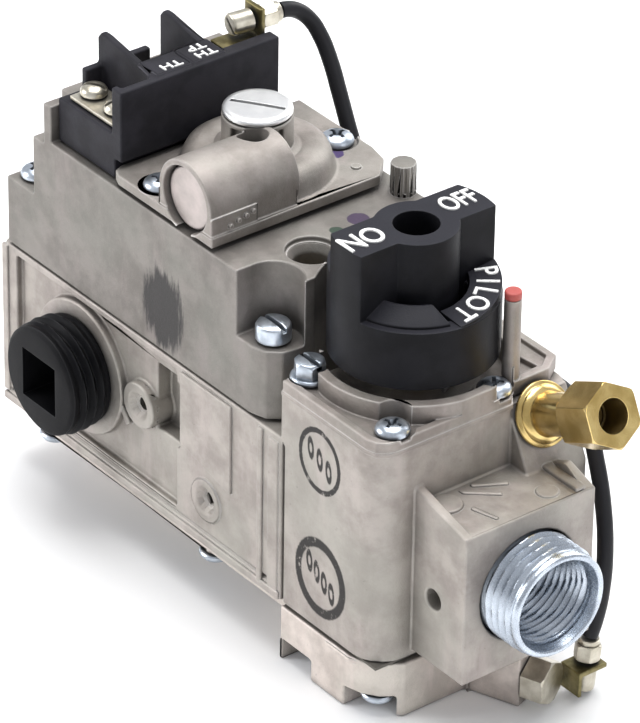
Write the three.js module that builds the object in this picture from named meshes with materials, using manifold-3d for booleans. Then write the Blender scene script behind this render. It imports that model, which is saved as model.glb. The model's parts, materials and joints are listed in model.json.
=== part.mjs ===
// Millivolt gas valve with a push-and-turn knob, a pressure regulator and a terminal block.
// Millimetres, +Z up. Design frame: x runs along the valve from its inlet end to its outlet,
// y runs across from the face with the side plug to the far face, z = 0 is the surface it stands on.
// The finished group is shifted so that the origin is the bottom centre of the whole valve.

import * as THREE from 'three';
import { mergeVertices } from 'three/addons/utils/BufferGeometryUtils.js';
import Module from 'manifold-3d';

const wasm = await Module();
wasm.setup();

// ---- driving dimensions -------------------------------------------------------------------
const GAP = 0.3; // clearance between touching pieces
const BODY_LENGTH = 86.7; // inlet half of the lower casting
const WIDTH = 44; // across the castings
const MID_Y = 22;
const BODY_BOTTOM = 12.5; // underside of the lower casting
const PARTING = 47.9; // joint between lower and upper casting
const BLOCK_END = 114.4; // end face of the control block
const BLOCK_TOP = 57.0; // where the bonnet sits
const BONNET_TOP = 59.4;
const PORT_FACE = 128.9; // face the outlet bushing screws into
const PORT_Y = 22.9;
const PORT_Z = 29.9;
const UPPER_TOP = 75.9; // top of the upper casting
const COVER_TOP = 78.9; // flange of the regulator cover
const KNOB_X = 96.7;
const KNOB_Y = 21.5;
const REG_X = 49.5; // regulator tower
const REG_Y = 22.4;
const PLUG_X = 24.8;
const PLUG_Z = 31.8;
const VALVE_X = 58; // main valve inside the body
const PRESS_TRAVEL = 2.5; // how far the knob pushes in
const HEAD_HEIGHT = 2.0; // pan head of a cover screw
const LIFT = 3; // how far the main valve opens
const SIDES = 28; // facets of a medium cylinder
const SCREW_SIDES = 10;

// Finished bounding box without the lead, used to centre the group.
const CENTRE_X = 68.9;
const CENTRE_Y = 17.35;

const FINISH = {
  casting: [0xaba49c, 0.5, 0.75],
  zinc: [0xc9d2dc, 0.28, 0.95],
  steel: [0x9a9ea3, 0.4, 0.9],
  brass: [0xc8a552, 0.3, 0.95],
  knob: [0x1d1d20, 0.45, 0.0],
  plastic: [0x3c3b41, 0.55, 0.0],
  plug: [0x101012, 0.5, 0.0],
  rubber: [0x1c1c1c, 0.8, 0.0],
  lead: [0x161618, 0.5, 0.0],
  olive: [0x83794f, 0.4, 0.8],
  nickel: [0xc9c0a8, 0.35, 0.9],
  aluminium: [0xdcdcdc, 0.25, 0.95],
  paper: [0x6d6a60, 0.9, 0.0],
};

// ---- small geometry tools -----------------------------------------------------------------
function solidOf(geometry) {
  const clean = geometry.clone();
  clean.deleteAttribute('normal');
  clean.deleteAttribute('uv');
  const merged = mergeVertices(clean, 1e-4);
  const vertProperties = new Float32Array(merged.attributes.position.array);
  const triVerts = new Uint32Array(merged.index.array);
  return new wasm.Manifold(new wasm.Mesh({ numProp: 3, vertProperties, triVerts }));
}

function geometryOf(solid) {
  const mesh = solid.getMesh();
  const geometry = new THREE.BufferGeometry();
  geometry.setAttribute('position', new THREE.BufferAttribute(new Float32Array(mesh.vertProperties), 3));
  geometry.setIndex(new THREE.BufferAttribute(new Uint32Array(mesh.triVerts), 1));
  geometry.computeVertexNormals();
  return geometry;
}

function join(...solids) {
  return solids.reduce((sum, next) => sum.add(next));
}

function cut(base, ...tools) {
  return tools.reduce((rest, tool) => rest.subtract(tool), base);
}

function box(x0, x1, y0, y1, z0, z1) {
  const geometry = new THREE.BoxGeometry(x1 - x0, y1 - y0, z1 - z0);
  geometry.translate((x0 + x1) / 2, (y0 + y1) / 2, (z0 + z1) / 2);
  return solidOf(geometry);
}

// A cylinder along one axis, from one end value to the other; a and b are the two other places.
function rod(axis, a, b, from, to, radius, sides = SIDES, endRadius = radius) {
  const geometry = new THREE.CylinderGeometry(endRadius, radius, to - from, sides);
  const middle = (from + to) / 2;
  if (axis === 'x') {
    geometry.rotateZ(-Math.PI / 2);
    geometry.translate(middle, a, b);
  } else if (axis === 'y') {
    geometry.translate(a, middle, b);
  } else {
    geometry.rotateX(Math.PI / 2);
    geometry.translate(a, b, middle);
  }
  return solidOf(geometry);
}

// An outline in x, y raised between two heights.
function prism(points, z0, z1) {
  const shape = new THREE.Shape(points.map(([x, y]) => new THREE.Vector2(x, y)));
  const geometry = new THREE.ExtrudeGeometry(shape, { depth: z1 - z0, bevelEnabled: false });
  geometry.translate(0, 0, z0);
  return solidOf(geometry);
}

// An outline in x, z carried across from y0 to y1.
function wedge(points, y0, y1) {
  const shape = new THREE.Shape(points.map(([x, z]) => new THREE.Vector2(x, z)));
  const geometry = new THREE.ExtrudeGeometry(shape, { depth: y1 - y0, bevelEnabled: false });
  geometry.rotateX(Math.PI / 2);
  geometry.translate(0, y1, 0);
  return solidOf(geometry);
}

// A turned shape about a vertical axis from radius and height pairs.
function turned(x, y, profile, sides = SIDES) {
  const geometry = new THREE.LatheGeometry(profile.map(([r, z]) => new THREE.Vector2(r, z)), sides);
  geometry.rotateX(Math.PI / 2);
  geometry.translate(x, y, 0);
  return solidOf(geometry);
}

// Corner points of a rounded rectangle; radii run from the low-x low-y corner anticlockwise.
function roundedRectangle(x0, x1, y0, y1, radii, steps = 5) {
  const corners = [
    [x0, y0, 1, 1, Math.PI],
    [x1, y0, -1, 1, 1.5 * Math.PI],
    [x1, y1, -1, -1, 0],
    [x0, y1, 1, -1, 0.5 * Math.PI],
  ];
  const points = [];
  corners.forEach(([x, y, inX, inY, start], index) => {
    const radius = radii[index];
    if (radius === 0) {
      points.push([x, y]);
      return;
    }
    for (let step = 0; step <= steps; step += 1) {
      const angle = start + (step / steps) * (Math.PI / 2);
      const centreX = x + inX * radius;
      const centreY = y + inY * radius;
      points.push([centreX + radius * Math.cos(angle), centreY + radius * Math.sin(angle)]);
    }
  });
  return points;
}

const valve = new THREE.Group();

function addPiece(name, solid, finish, parent = valve) {
  const [color, roughness, metalness] = FINISH[finish];
  const geometry = solid.isBufferGeometry ? solid : geometryOf(solid);
  const mesh = new THREE.Mesh(geometry, new THREE.MeshStandardMaterial({ color, roughness, metalness }));
  mesh.name = name;
  parent.add(mesh);
  return mesh;
}

// ---- lower casting ------------------------------------------------------------------------
const CORNER = 6.5; // rounded vertical corner of the control block
const BOSS_NEAR = [43.8, 32.8];
const BOSS_LOW = [64.5, 22.7];
const FITTING_TILT = THREE.MathUtils.degToRad(26);
const FITTING_AT = [115.0, 36.2, 53.6]; // centre of the pilot boss face
const BOTTOM_SCREWS = [[91.5, 4.6], [109.8, 4.6], [91.5, 39.4], [109.8, 39.4]];
const REAR_SCREWS = [[61, 4.8], [10, 4.8], [61, 39.2], [10, 39.2]];
const BONNET_SCREWS = [[88.6, 4.6], [111.2, 5.4], [111.4, 28.2]];
const UPPER_SCREWS = [[77.9, 4.6], [5.6, 4.4], [5.6, 39.6]];

function mainBody() {
  const rearOutline = roundedRectangle(0, BODY_LENGTH, 0, WIDTH, [1.5, 0, 0, 1.5], 2);
  const rear = prism(rearOutline, BODY_BOTTOM, PARTING - GAP);
  const block = prism(
    roundedRectangle(BODY_LENGTH - 0.5, BLOCK_END, 0, WIDTH, [0, CORNER, 4, 0]), BODY_BOTTOM, BLOCK_TOP);
  const neck = box(BLOCK_END - 2, PORT_FACE, 8.2, 37.7, 13.8, 45);
  const webs = [[8.2, 49], [35.7, 50]].map(([y, high]) => wedge(
    [[BLOCK_END - 2, 44], [PORT_FACE, 44], [PORT_FACE, 44.9], [BLOCK_END - 2, high]], y, y + 2));
  const [faceX, , faceZ] = FITTING_AT;
  const lean = Math.tan(FITTING_TILT);
  const faceLow = [faceX + (faceZ - 43.8) * lean, 43.8];
  const faceHigh = [faceX - (BLOCK_TOP - faceZ) * lean, BLOCK_TOP];
  const pilotBoss = wedge([[104, 38], [faceLow[0], 38], faceLow, faceHigh, [104, BLOCK_TOP]], 29.9, 43.4);
  const nearBoss = rod('y', ...BOSS_NEAR, -0.6, 5, 4.7, 20);
  const lowBoss = rod('y', ...BOSS_LOW, -0.6, 5, 4.4, 20);
  const shell = join(rear, block, neck, ...webs, pilotBoss);
  const panel = box(4.5, 55, -1, 1.3, 16.5, 46);
  const pocket = box(47.5, 56, -1, 4.5, 29.5, 43.5);
  const plugBoss = rod('y', PLUG_X, PLUG_Z, -0.4, 5, 13.6, 32);
  const relieved = join(cut(shell, panel, pocket), nearBoss, lowBoss, plugBoss);
  const inlet = rod('x', MID_Y, 31, -1, 22, 9.3);
  const inletWay = rod('x', MID_Y, 31, 21, 40, 7, 20);
  const sideBore = rod('y', PLUG_X, PLUG_Z, -2, MID_Y, 10.0);
  const chamber = box(34, 78, 10, 34, 20, PARTING + 1);
  const crossWay = rod('x', MID_Y, 38, 76, 100, 5, 16);
  const cockBore = rod('z', KNOB_X, KNOB_Y, 40, BLOCK_TOP + 1, 7.2);
  const valveBore = rod('z', KNOB_X, KNOB_Y, BODY_BOTTOM - 1, 41, 10.5);
  const outletWay = rod('x', PORT_Y, PORT_Z, 100, 118, 7, 20);
  const outletBore = rod('x', PORT_Y, PORT_Z, 116, PORT_FACE + 1, 10.95, 32);
  const threadHoles = [BOSS_NEAR, BOSS_LOW].map(([x, z]) => rod('y', x, z, -2, 7, 1.7, 12));
  const sideHole = rod('y', 120.2, 27.8, 7, 11.5, 2.0, 12);
  const screwHoles = [
    ...BONNET_SCREWS.map(([x, y]) => rod('z', x, y, 47, BLOCK_TOP + 1, 2.0, 8)),
    ...UPPER_SCREWS.map(([x, y]) => rod('z', x, y, 38, PARTING + 1, 2.0, 8)),
    ...BOTTOM_SCREWS.map(([x, y]) => rod('z', x, y, BODY_BOTTOM - 1, 21, 2.0, 8)),
    ...REAR_SCREWS.map(([x, y]) => rod('z', x, y, BODY_BOTTOM - 1, 18, 2.0, 8)),
  ];
  const knobPocket = rod('z', KNOB_X, KNOB_Y, 52, BLOCK_TOP + 1, 9, 24);
  const aboveFace = tilted(box(0, 12, -6.3, 9, -9, 12));
  return cut(relieved, inlet, inletWay, sideBore, chamber, crossWay, cockBore, valveBore, outletWay,
    outletBore, ...threadHoles, sideHole, ...screwHoles, knobPocket, pilotBore(), aboveFace);
}

// The pilot fitting is tilted up from the x axis; its pieces are made along x, then tilted.
function tilted(solid) {
  const degrees = THREE.MathUtils.radToDeg(-FITTING_TILT);
  return solid.rotate([0, degrees, 0]).translate(FITTING_AT);
}

function pilotBore() {
  return tilted(rod('x', 0, 0, -9, 2, 3.6, 16));
}

// ---- bonnet under the knob ----------------------------------------------------------------
const COLLAR_INNER = 16.4;
const COLLAR_OUTER = 18.6;
const COLLAR_TOP = 63.2;
const WELL_FLOOR = 58.4; // bottom of the collar's well, where the knob spring sits
// The pushed knob still clears the screw heads under its rim.
const KNOB_BOTTOM = BONNET_TOP + GAP + HEAD_HEIGHT + PRESS_TRAVEL + GAP;
const POST_AT = [110.2, 32.9];

function controlBonnet() {
  const x0 = BODY_LENGTH + 0.4;
  const outline = [
    [x0, -0.4], [111.2, -0.4], [113.2, 0.2], [114.6, 1.7], [115.0, 3.6], [115.0, 29.2], [112.2, 31.5],
    [112.2, 40.2], [109.4, 44.2], [x0, 44.2],
  ];
  const floor = 57.3;
  const plate = prism(outline, floor, BONNET_TOP + 0.9);
  const innerOutline = [
    [x0 + 1.6, 1.2], [111.0, 1.2], [112.6, 1.9], [113.4, 3.8], [113.4, 28.8], [110.6, 31.2],
    [110.6, 39.6], [108.4, 42.6], [x0 + 1.6, 42.6],
  ];
  const dish = prism(innerOutline, BONNET_TOP, BONNET_TOP + 2);
  const collar = rod('z', KNOB_X, KNOB_Y, floor + 0.5, COLLAR_TOP, COLLAR_OUTER, 48);
  const trimmed = collar.intersect(prism([[x0, 0.4], [115, 0.4], [115, 43.4], [x0, 43.4]], floor, 70));
  const well = rod('z', KNOB_X, KNOB_Y, WELL_FLOOR, 70, COLLAR_INNER, 48);
  const throat = rod('z', KNOB_X, KNOB_Y, floor - 1, WELL_FLOOR + 0.6, 5.4, 24);
  const post = rod('z', ...POST_AT, BONNET_TOP - 1, 78.2, 1.6, 12);
  const seats = BONNET_SCREWS.map(([x, y]) => rod('z', x, y, BONNET_TOP, 70, 3.9, 16));
  const holes = BONNET_SCREWS.map(([x, y]) => rod('z', x, y, floor - 1, 70, 2.2, 8));
  const triangle = prism([[100.8, 38.8], [109.2, 39.9], [109.0, 34.6], [106.4, 36.0]], 58.2, 62);
  const whole = join(cut(plate, dish), trimmed, post);
  return cut(whole, well, throat, ...seats, ...holes, triangle);
}

function panScrew(x, y, seat, length, slotted = false, radius = 3.2, shank = 1.75) {
  const head = turned(x, y, [
    [0, seat - length], [shank, seat - length], [shank, seat], [radius, seat], [radius, seat + 0.9],
    [radius * 0.78, seat + 1.6], [0, seat + HEAD_HEIGHT],
  ], SCREW_SIDES);
  if (slotted) {
    return cut(head, box(x - radius, x + radius, y - 0.5, y + 0.5, seat + 1.3, seat + 3));
  }
  return cut(head, rod('z', x, y, seat + 1.2, seat + 3, 1.2, 4));
}

// The tall slotted cylinder head in the corner pocket of the upper casting.
function cheeseScrew(x, y, seat, length) {
  const head = turned(x, y, [
    [0, seat - length], [1.75, seat - length], [1.75, seat], [3.3, seat], [3.3, seat + 2.9],
    [2.8, seat + 3.5], [0, seat + 3.7],
  ], 18);
  return cut(head, box(x - 4, x + 4, y - 0.5, y + 0.5, seat + 2.5, seat + 5));
}

function hexWasherScrew(x, y, seat, length) {
  const washer = turned(x, y, [
    [0, seat - length], [1.75, seat - length], [1.75, seat], [3.6, seat], [3.6, seat + 0.9], [0, seat + 0.9],
  ], 18);
  const head = rod('z', x, y, seat + 0.6, seat + 4, 3.1, 6);
  return cut(join(washer, head), box(x - 4, x + 4, y - 0.5, y + 0.5, seat + 2.9, seat + 5));
}

// ---- knob, cock and the valves it works ---------------------------------------------------
const KNOB_RADIUS = 15.6;
const KNOB_DECK = 76.2;
const KNOB_TOP = 89.6;

const KNOB_HOLLOW = KNOB_BOTTOM + 9; // roof of the hollow under the knob

function gasKnob() {
  const skirt = rod('z', KNOB_X, KNOB_Y, KNOB_BOTTOM, KNOB_DECK, KNOB_RADIUS, 36);
  const disc = rod('z', KNOB_X, KNOB_Y, KNOB_BOTTOM, KNOB_TOP + 1, KNOB_RADIUS, 36);
  const grip = box(KNOB_X - 6.2, KNOB_X + 3.6, KNOB_Y - 17, KNOB_Y + 17, KNOB_DECK - 1, KNOB_TOP);
  const hub = rod('z', KNOB_X, KNOB_Y, KNOB_DECK - 1, KNOB_TOP, 7.8, 32);
  const back = box(KNOB_X - 16, KNOB_X - 6, KNOB_Y - 16, KNOB_Y + 16, KNOB_DECK - 1, KNOB_TOP - 5);
  const upper = join(grip, hub, back).intersect(disc);
  const socket = rod('z', KNOB_X, KNOB_Y, KNOB_BOTTOM - 1, KNOB_TOP - 9, 2.9, 16);
  const hollow = cut(
    rod('z', KNOB_X, KNOB_Y, KNOB_BOTTOM - 1, KNOB_HOLLOW, 12.6, 32),
    rod('z', KNOB_X, KNOB_Y, KNOB_BOTTOM - 2, KNOB_HOLLOW + 1, 5.2, 24));
  const mouth = rod('z', KNOB_X, KNOB_Y, KNOB_TOP - 7, KNOB_TOP + 1, 4.2, 24);
  return cut(join(skirt, upper), socket, hollow, mouth);
}

// Tapered gas cock with the stem that the knob slides on.
function cockPlug() {
  const shoulder = KNOB_BOTTOM - PRESS_TRAVEL - 0.5;
  return turned(KNOB_X, KNOB_Y, [
    [0, 42.0], [5.6, 42.0], [6.6, 55.6], [4.9, 55.6], [4.9, shoulder],
    [2.5, shoulder], [2.5, 74.6], [0, 74.6],
  ], 24);
}

// The safety valve's disc and stem, pushed down off its seat by the knob.
function safetyValve() {
  return turned(KNOB_X, KNOB_Y, [
    [0, 24.5], [8.6, 24.5], [8.6, 27.5], [2.0, 28.3], [2.0, 41.4], [0, 41.4],
  ], 24);
}

// A coil spring about a vertical axis: round wire carried along a helix.
function coil(x, y, z0, z1, radius, wire, turns) {
  class Helix extends THREE.Curve {
    getPoint(t, target = new THREE.Vector3()) {
      const angle = t * turns * 2 * Math.PI;
      const height = z0 + wire + (z1 - z0 - 2 * wire) * t;
      return target.set(x + radius * Math.cos(angle), y + radius * Math.sin(angle), height);
    }
  }
  const section = new THREE.Shape();
  for (let side = 0; side < 5; side += 1) {
    const angle = (side / 5) * 2 * Math.PI;
    const place = [wire * Math.cos(angle), wire * Math.sin(angle)];
    if (side === 0) section.moveTo(...place);
    else section.lineTo(...place);
  }
  const geometry = new THREE.ExtrudeGeometry(section, {
    steps: Math.round(turns * 8), extrudePath: new Helix(), bevelEnabled: false,
  });
  return solidOf(geometry);
}

// ---- rear bottom cover and front bottom cover in one casting ------------------------------
const COVER_SKIN = 3; // wall left under the wells of the bottom cover

function bottomCover() {
  const top = BODY_BOTTOM - 0.9;
  const frontOutline = [
    [BODY_LENGTH, 0], [106.4, 0], [109.6, 0.9], [112.4, 3.0], [114.8, 6.6], [114.8, 37.4], [112.4, 41],
    [109.6, 43.1], [106.4, WIDTH], [BODY_LENGTH, WIDTH],
  ];
  const front = prism(frontOutline, 0, top);
  const rearPlate = box(3.5, BODY_LENGTH + 1, 2.6, 41.4, top - 3, top);
  const rib = prism(roundedRectangle(20, BODY_LENGTH + 1, 13.6, 30.4, [5, 0, 0, 5], 4), 0, top);
  const lugs = BOTTOM_SCREWS.map(([x, y]) => {
    const outward = y < MID_Y ? -10 : 10;
    return join(
      rod('z', x, y, -1, 4.4, 4.3, 16),
      box(x - 4.3, x + 4.3, Math.min(y, y + outward), Math.max(y, y + outward), -1, 4.4));
  });
  const holes = BOTTOM_SCREWS.map(([x, y]) => rod('z', x, y, -1, top + 1, 2.1, 8));
  const rearHoles = REAR_SCREWS.map(([x, y]) => rod('z', x, y, -1, top + 1, 2.1, 8));
  const well = rod('z', KNOB_X, KNOB_Y, COVER_SKIN, top + 1, 10.4, 28);
  const hollow = prism(roundedRectangle(26, 80, 17, 27, [3, 3, 3, 3], 2), COVER_SKIN, top + 1);
  const housing = join(
    prism([[112, 19.8], [115.5, 21.2], [125, 25], [122.2, 32.4], [112, 30]], 0, top),
    prism([[115.3, 21.1], [125, 25], [122.2, 32.4], [115.3, 30.8]], 0, 13.5));
  const body = join(front, rearPlate, rib, housing);
  return cut(body, ...lugs, ...holes, ...rearHoles, well, hollow);
}

function bottomGasket() {
  const top = BODY_BOTTOM - 0.2;
  const front = box(BODY_LENGTH + 0.6, 113.6, 0.8, 43.2, top - 0.5, top);
  const sheet = join(front, box(4.1, 87.4, 3.2, 40.8, top - 0.5, top));
  const holes = [...BOTTOM_SCREWS, ...REAR_SCREWS].map(([x, y]) => rod('z', x, y, top - 2, top + 1, 2.1, 8));
  const well = rod('z', KNOB_X, KNOB_Y, top - 2, top + 1, 10.4, 28);
  return cut(sheet, ...holes, well);
}

function invertedScrew(x, y, seat, length, shank = 1.75) {
  const head = turned(x, y, [
    [0, seat - 2.3], [2.5, seat - 1.9], [3.2, seat - 0.9], [3.2, seat], [shank, seat], [shank, seat + length],
    [0, seat + length],
  ], SCREW_SIDES);
  return cut(head, rod('z', x, y, seat - 3, seat - 1.2, 1.2, 4));
}

// ---- upper casting, regulator and terminal block ------------------------------------------
const LEDGE = 62.4; // screw ledges at the inlet end
const POCKET_AT = [78.6, 3.9];
const BORE_AT = [75.1, 15.2];
const TIE_POST = [68.6, 41.2];

function upperCasting() {
  const floor = PARTING + 0.3;
  const outline = [[1.9, 0], [77.5, 0], [80.6, 0.9], [82.6, 3.2], [83, 6], [83, 38], [76, 43.2], [1.9, 43.2]];
  const slab = prism(outline, floor, UPPER_TOP);
  const endWall = box(13.9, 16.2, 0, 6.6, UPPER_TOP - 1, 83.4);
  const endShelf = box(10.4, 16.2, 6.0, 43.2, UPPER_TOP - 1, 82.6);
  const step = box(0, 10.4, -1, 45, LEDGE, 90);
  const upperStep = box(0, 13.9, -1, 6.6, 74.8, 90);
  const pocket = join(
    rod('z', ...POCKET_AT, LEDGE, 90, 5.7, 28),
    box(POCKET_AT[0] - 5.7, 90, -5, POCKET_AT[1] - 0.2, LEDGE, 90));
  const knobRoom = rod('z', KNOB_X, KNOB_Y, floor - 1, 90, 17.9, 48);
  const post = rod('z', ...TIE_POST, UPPER_TOP - 1, 82.1, 2.4, 16);
  const body = cut(join(slab, endWall, endShelf), step, upperStep, pocket, knobRoom);
  const bore = rod('z', ...BORE_AT, UPPER_TOP - 1.8, 90, 4.8, 28);
  const boreDeep = rod('z', ...BORE_AT, 58, 90, 3.45, 24);
  const regulatorWell = rod('z', REG_X, REG_Y, 68, 90, 12.5, 32);
  const springWell = rod('z', VALVE_X, MID_Y, floor - 1, SPRING_WELL_TOP, 8.5, 28);
  const bleed = rod('z', REG_X, REG_Y, 58, 70, 2, 12);
  const chamber = box(20, 36, 12, 32, floor - 1, 66);
  const holes = UPPER_SCREWS.map(([x, y]) => rod('z', x, y, floor - 1, 90, 2.1, 8));
  const coverHoles = COVER_SCREWS.map(([x, y]) => rod('z', x, y, 68, 90, 2.0, 12));
  const wells = [bore, boreDeep, regulatorWell, springWell, bleed, chamber];
  return cut(join(body, post), ...wells, ...holes, ...coverHoles);
}

const COVER_SCREWS = [[44.6, 4.2], [50.8, 39.8]];
const SIDE_BORE = [57.2, 83.0]; // axis of the boss across the cover, x and z
const PIN_AT = [55.9, 16.4];

function regulatorCover() {
  const floor = UPPER_TOP + 0.9;
  const flange = prism([
    [37.4, 0], [65.6, 0], [65.6, 38.2], [61.2, 42.6], [56.6, 43.6], [34.6, 43.6], [34.6, 2.6], [35.4, 0.8],
  ], floor, COVER_TOP);
  const dome = turned(REG_X, REG_Y, [
    [0, floor], [13.9, floor], [13.9, 81.6], [13.0, 83.2], [9.5, 83.8], [0, 84.2],
  ], 40);
  const tower = rod('z', REG_X, REG_Y, 80, 90.1, 6.6, 32);
  const boss = rod('y', ...SIDE_BORE, 0.2, REG_Y - 2, 7.75, 32);
  const pedestal = box(49.6, 65.2, 0.2, 10.5, floor, 82.5);
  const body = join(flange, dome, tower, boss, pedestal);
  const inside = turned(REG_X, REG_Y, [
    [0, floor - 1], [11.4, floor - 1], [11.4, 80.2], [5.0, 80.2], [5.0, 91], [0, 91],
  ], 32);
  const recess = rod('y', ...SIDE_BORE, -1, 4, 6.5, 28);
  const pinPocket = rod('z', ...PIN_AT, 85.6, 95, 2.9, 16);
  const pinHole = rod('z', ...PIN_AT, 81.0, 95, 1.6, 12);
  const seats = COVER_SCREWS.map(([x, y]) => rod('z', x, y, 78.2, 90, 3.9, 16));
  const holes = COVER_SCREWS.map(([x, y]) => rod('z', x, y, floor - 1, 90, 2.1, 8));
  const below = box(20, 80, -5, 50, 60, floor);
  const besideTerminals = box(20, 36.5, -5, 50, 79.9, 100);
  const aroundCap = rod('z', REG_X, REG_Y, 90.1, 100, 7.0, 28);
  return cut(body, inside, recess, pinPocket, pinHole, ...seats, ...holes, below, besideTerminals, aroundCap);
}

function regulatorCap() {
  const cap = turned(REG_X, REG_Y, [
    [0, 85.8], [4.7, 85.8], [4.7, 90.3], [6.5, 90.3], [6.5, 91.2], [5.9, 91.8], [0, 91.8],
  ], 32);
  return cut(cap, box(REG_X - 5.6, REG_X + 5.6, REG_Y - 0.6, REG_Y + 0.6, 91.0, 93));
}

function terminalBlock() {
  const floor = UPPER_TOP + 0.3;
  const y0 = 1.5;
  const y1 = 37.6;
  const base = box(16.6, 34.2, y0, y1, floor, 85.2);
  const wall = box(33.2, 36.2, y0, y1, 80.2, 94.8);
  const endWall = box(16.6, 18.2, 6.8, 21.5, 84, 89.8);
  const finOne = box(16.6, 34.5, 10.5, 12, 84, 96.2);
  const finTwo = box(16.6, 34.5, 24.6, 26.1, 84, 96.2);
  const deck = box(29.2, 35.0, 10.6, 26, 92.6, 95.2);
  const body = join(base, wall, endWall, finOne, finTwo, deck);
  const holes = TERMINAL_SCREWS.map(([x, y]) => rod('z', x, y, floor + 4, 100, 1.75, 8));
  return cut(body, ...holes);
}

const TERMINAL_SCREWS = [[21.4, 6.2], [29, 6.0], [23.6, 18.2], [23.6, 31.4]];
const TERMINAL_PLATES = [[18.8, 32.6, 2.6, 9.6], [19, 28.6, 13.2, 23.4], [19, 28.6, 27.2, 36.4]];

function terminalPlate(x0, x1, y0, y1) {
  const plate = box(x0, x1, y0, y1, 85.5, 86.3);
  const holes = TERMINAL_SCREWS.map(([x, y]) => rod('z', x, y, 80, 90, 1.9, 8));
  return cut(plate, ...holes);
}

// ---- outlet bushing, side plug and pilot fitting ------------------------------------------
function outletBushing() {
  const profile = [[8.3, -11.5], [10.6, -11.5], [10.6, 0.4]];
  const pitch = 1.8;
  for (let z = 0.8; z < 7.4; z += pitch) {
    profile.push([10.7, z], [10.7, z + 0.4], [10.05, z + 0.9], [10.05, z + 1.3]);
  }
  profile.push([10.4, 8.8], [8.9, 8.8], [8.3, 8.0], [8.3, -11.5]);
  const geometry = new THREE.LatheGeometry(profile.map(([r, z]) => new THREE.Vector2(r, z)), 28);
  geometry.rotateZ(-Math.PI / 2);
  geometry.translate(PORT_FACE, PORT_Y, PORT_Z);
  return solidOf(geometry);
}

function inletPlug() {
  const profile = [[0, 0.6], [9.6, 0.6], [9.6, 8.8], [11.4, 9.0]];
  for (let z = 9.4; z < 16; z += 1.8) {
    profile.push([11.4, z], [11.4, z + 0.5], [10.6, z + 0.9], [10.6, z + 1.4]);
  }
  profile.push([11.0, 17.6], [0, 17.6]);
  const geometry = new THREE.LatheGeometry(profile.map(([r, z]) => new THREE.Vector2(r, z)), 26);
  geometry.rotateX(Math.PI);
  geometry.translate(PLUG_X, 8.1, PLUG_Z);
  const socket = box(PLUG_X - 4.8, PLUG_X + 4.8, -12, 1, PLUG_Z - 4.8, PLUG_Z + 4.8);
  return cut(solidOf(geometry), socket);
}

function pilotFitting() {
  const geometry = new THREE.LatheGeometry([
    [0, -6], [3.3, -6], [3.3, 0.3], [6.1, 0.3], [6.1, 1.4], [5.2, 2.2], [4.0, 2.6], [3.9, 12],
    [2.4, 12], [2.4, 15.2], [0, 15.2],
  ].map(([r, z]) => new THREE.Vector2(r, z)), 24);
  geometry.rotateZ(-Math.PI / 2);
  return tilted(cut(solidOf(geometry), rod('x', 0, 0, 3, 17, 1.5, 12)));
}

function pilotTubeNut() {
  const hex = rod('x', 0, 0, 12.3, 21.6, 6.4, 6);
  return tilted(cut(hex, rod('x', 0, 0, 11, 16.6, 2.8, 16), rod('x', 0, 0, 15, 23, 3.2, 20)));
}

// ---- the lead between the terminals and the magnet unit ------------------------------------
const LEAD_RADIUS = 1.55;
const TOP_END = [30.6, 41.6, 96.4]; // where the lead leaves its upper ferrule
const TOP_AIM = [0.1, 0.995, 0];
const LOW_END = [127.8, 38.9, 11.4]; // where it enters the lower one
const LOW_AIM = [0, 0.12, 0.993];

// The lead's route by hand: out of the upper ferrule, over and down behind the valve, along the
// far side and round to the magnet unit under the outlet.
const LEAD_ROUTE = [
  [30.62, 41.9, 96.4], [30.7, 43.4, 96.25], [31.0, 45.7, 95.3], [31.9, 47.8, 93.3], [33.5, 49.2, 90.0],
  [35.8, 49.8, 85.6], [38.8, 49.8, 79.8], [42.2, 49.7, 73.2], [46.4, 49.5, 66.2], [52.0, 49.2, 59.6],
  [59.8, 49.0, 54.2], [69.4, 49.0, 50.9], [80.0, 48.9, 49.6], [91.0, 48.8, 49.5], [101.6, 48.7, 49.9],
  [110.0, 48.0, 49.7], [116.4, 46.4, 47.4], [121.2, 44.7, 42.6], [124.8, 43.4, 36.2], [127.2, 42.2, 28.4],
  [128.1, 41.0, 20.6], [128.0, 39.9, 15.0], [127.8, 38.95, 11.8],
];

function circleSection(radius, sides) {
  const shape = new THREE.Shape();
  for (let side = 0; side < sides; side += 1) {
    const angle = (side / sides) * 2 * Math.PI;
    const place = [radius * Math.cos(angle), radius * Math.sin(angle)];
    if (side === 0) shape.moveTo(...place);
    else shape.lineTo(...place);
  }
  return shape;
}

function leadTube() {
  const route = new THREE.CatmullRomCurve3(LEAD_ROUTE.map((point) => new THREE.Vector3(...point)));
  const geometry = new THREE.ExtrudeGeometry(circleSection(LEAD_RADIUS, 8), {
    steps: 44, extrudePath: route, bevelEnabled: false,
  });
  return solidOf(geometry);
}

// A piece made along +x, turned to aim and moved so that x = 0 is at the place given.
function aimed(solid, place, aim) {
  const direction = new THREE.Vector3(...aim).normalize();
  const yaw = THREE.MathUtils.radToDeg(Math.atan2(direction.y, direction.x));
  const pitch = THREE.MathUtils.radToDeg(-Math.asin(direction.z));
  return solid.rotate([0, pitch, 0]).rotate([0, 0, yaw]).translate(place);
}

function ferrule(place, aim) {
  return aimed(join(rod('x', 0, 0, -4.4, -1.2, 2.6, 6), rod('x', 0, 0, -1.4, -0.1, 2.0, 14)), place, aim);
}

function leadScrew(place, aim) {
  const head = rod('x', 0, 0, -10.6, -6.3, 2.2, 14);
  return aimed(cut(head, box(-12, -9.9, -3, 3, -0.35, 0.35)), place, aim);
}

// The bracket that carries the upper end: foot on the terminal plate, arm, and upright tab.
function upperTab() {
  return join(
    box(27.6, 32.8, 28.0, 29.0, 86.6, 93.6),
    box(27.6, 32.8, 28.0, 36.9, 92.6, 93.6),
    box(27.6, 32.8, 35.9, 36.9, 92.6, 99.4));
}

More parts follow.
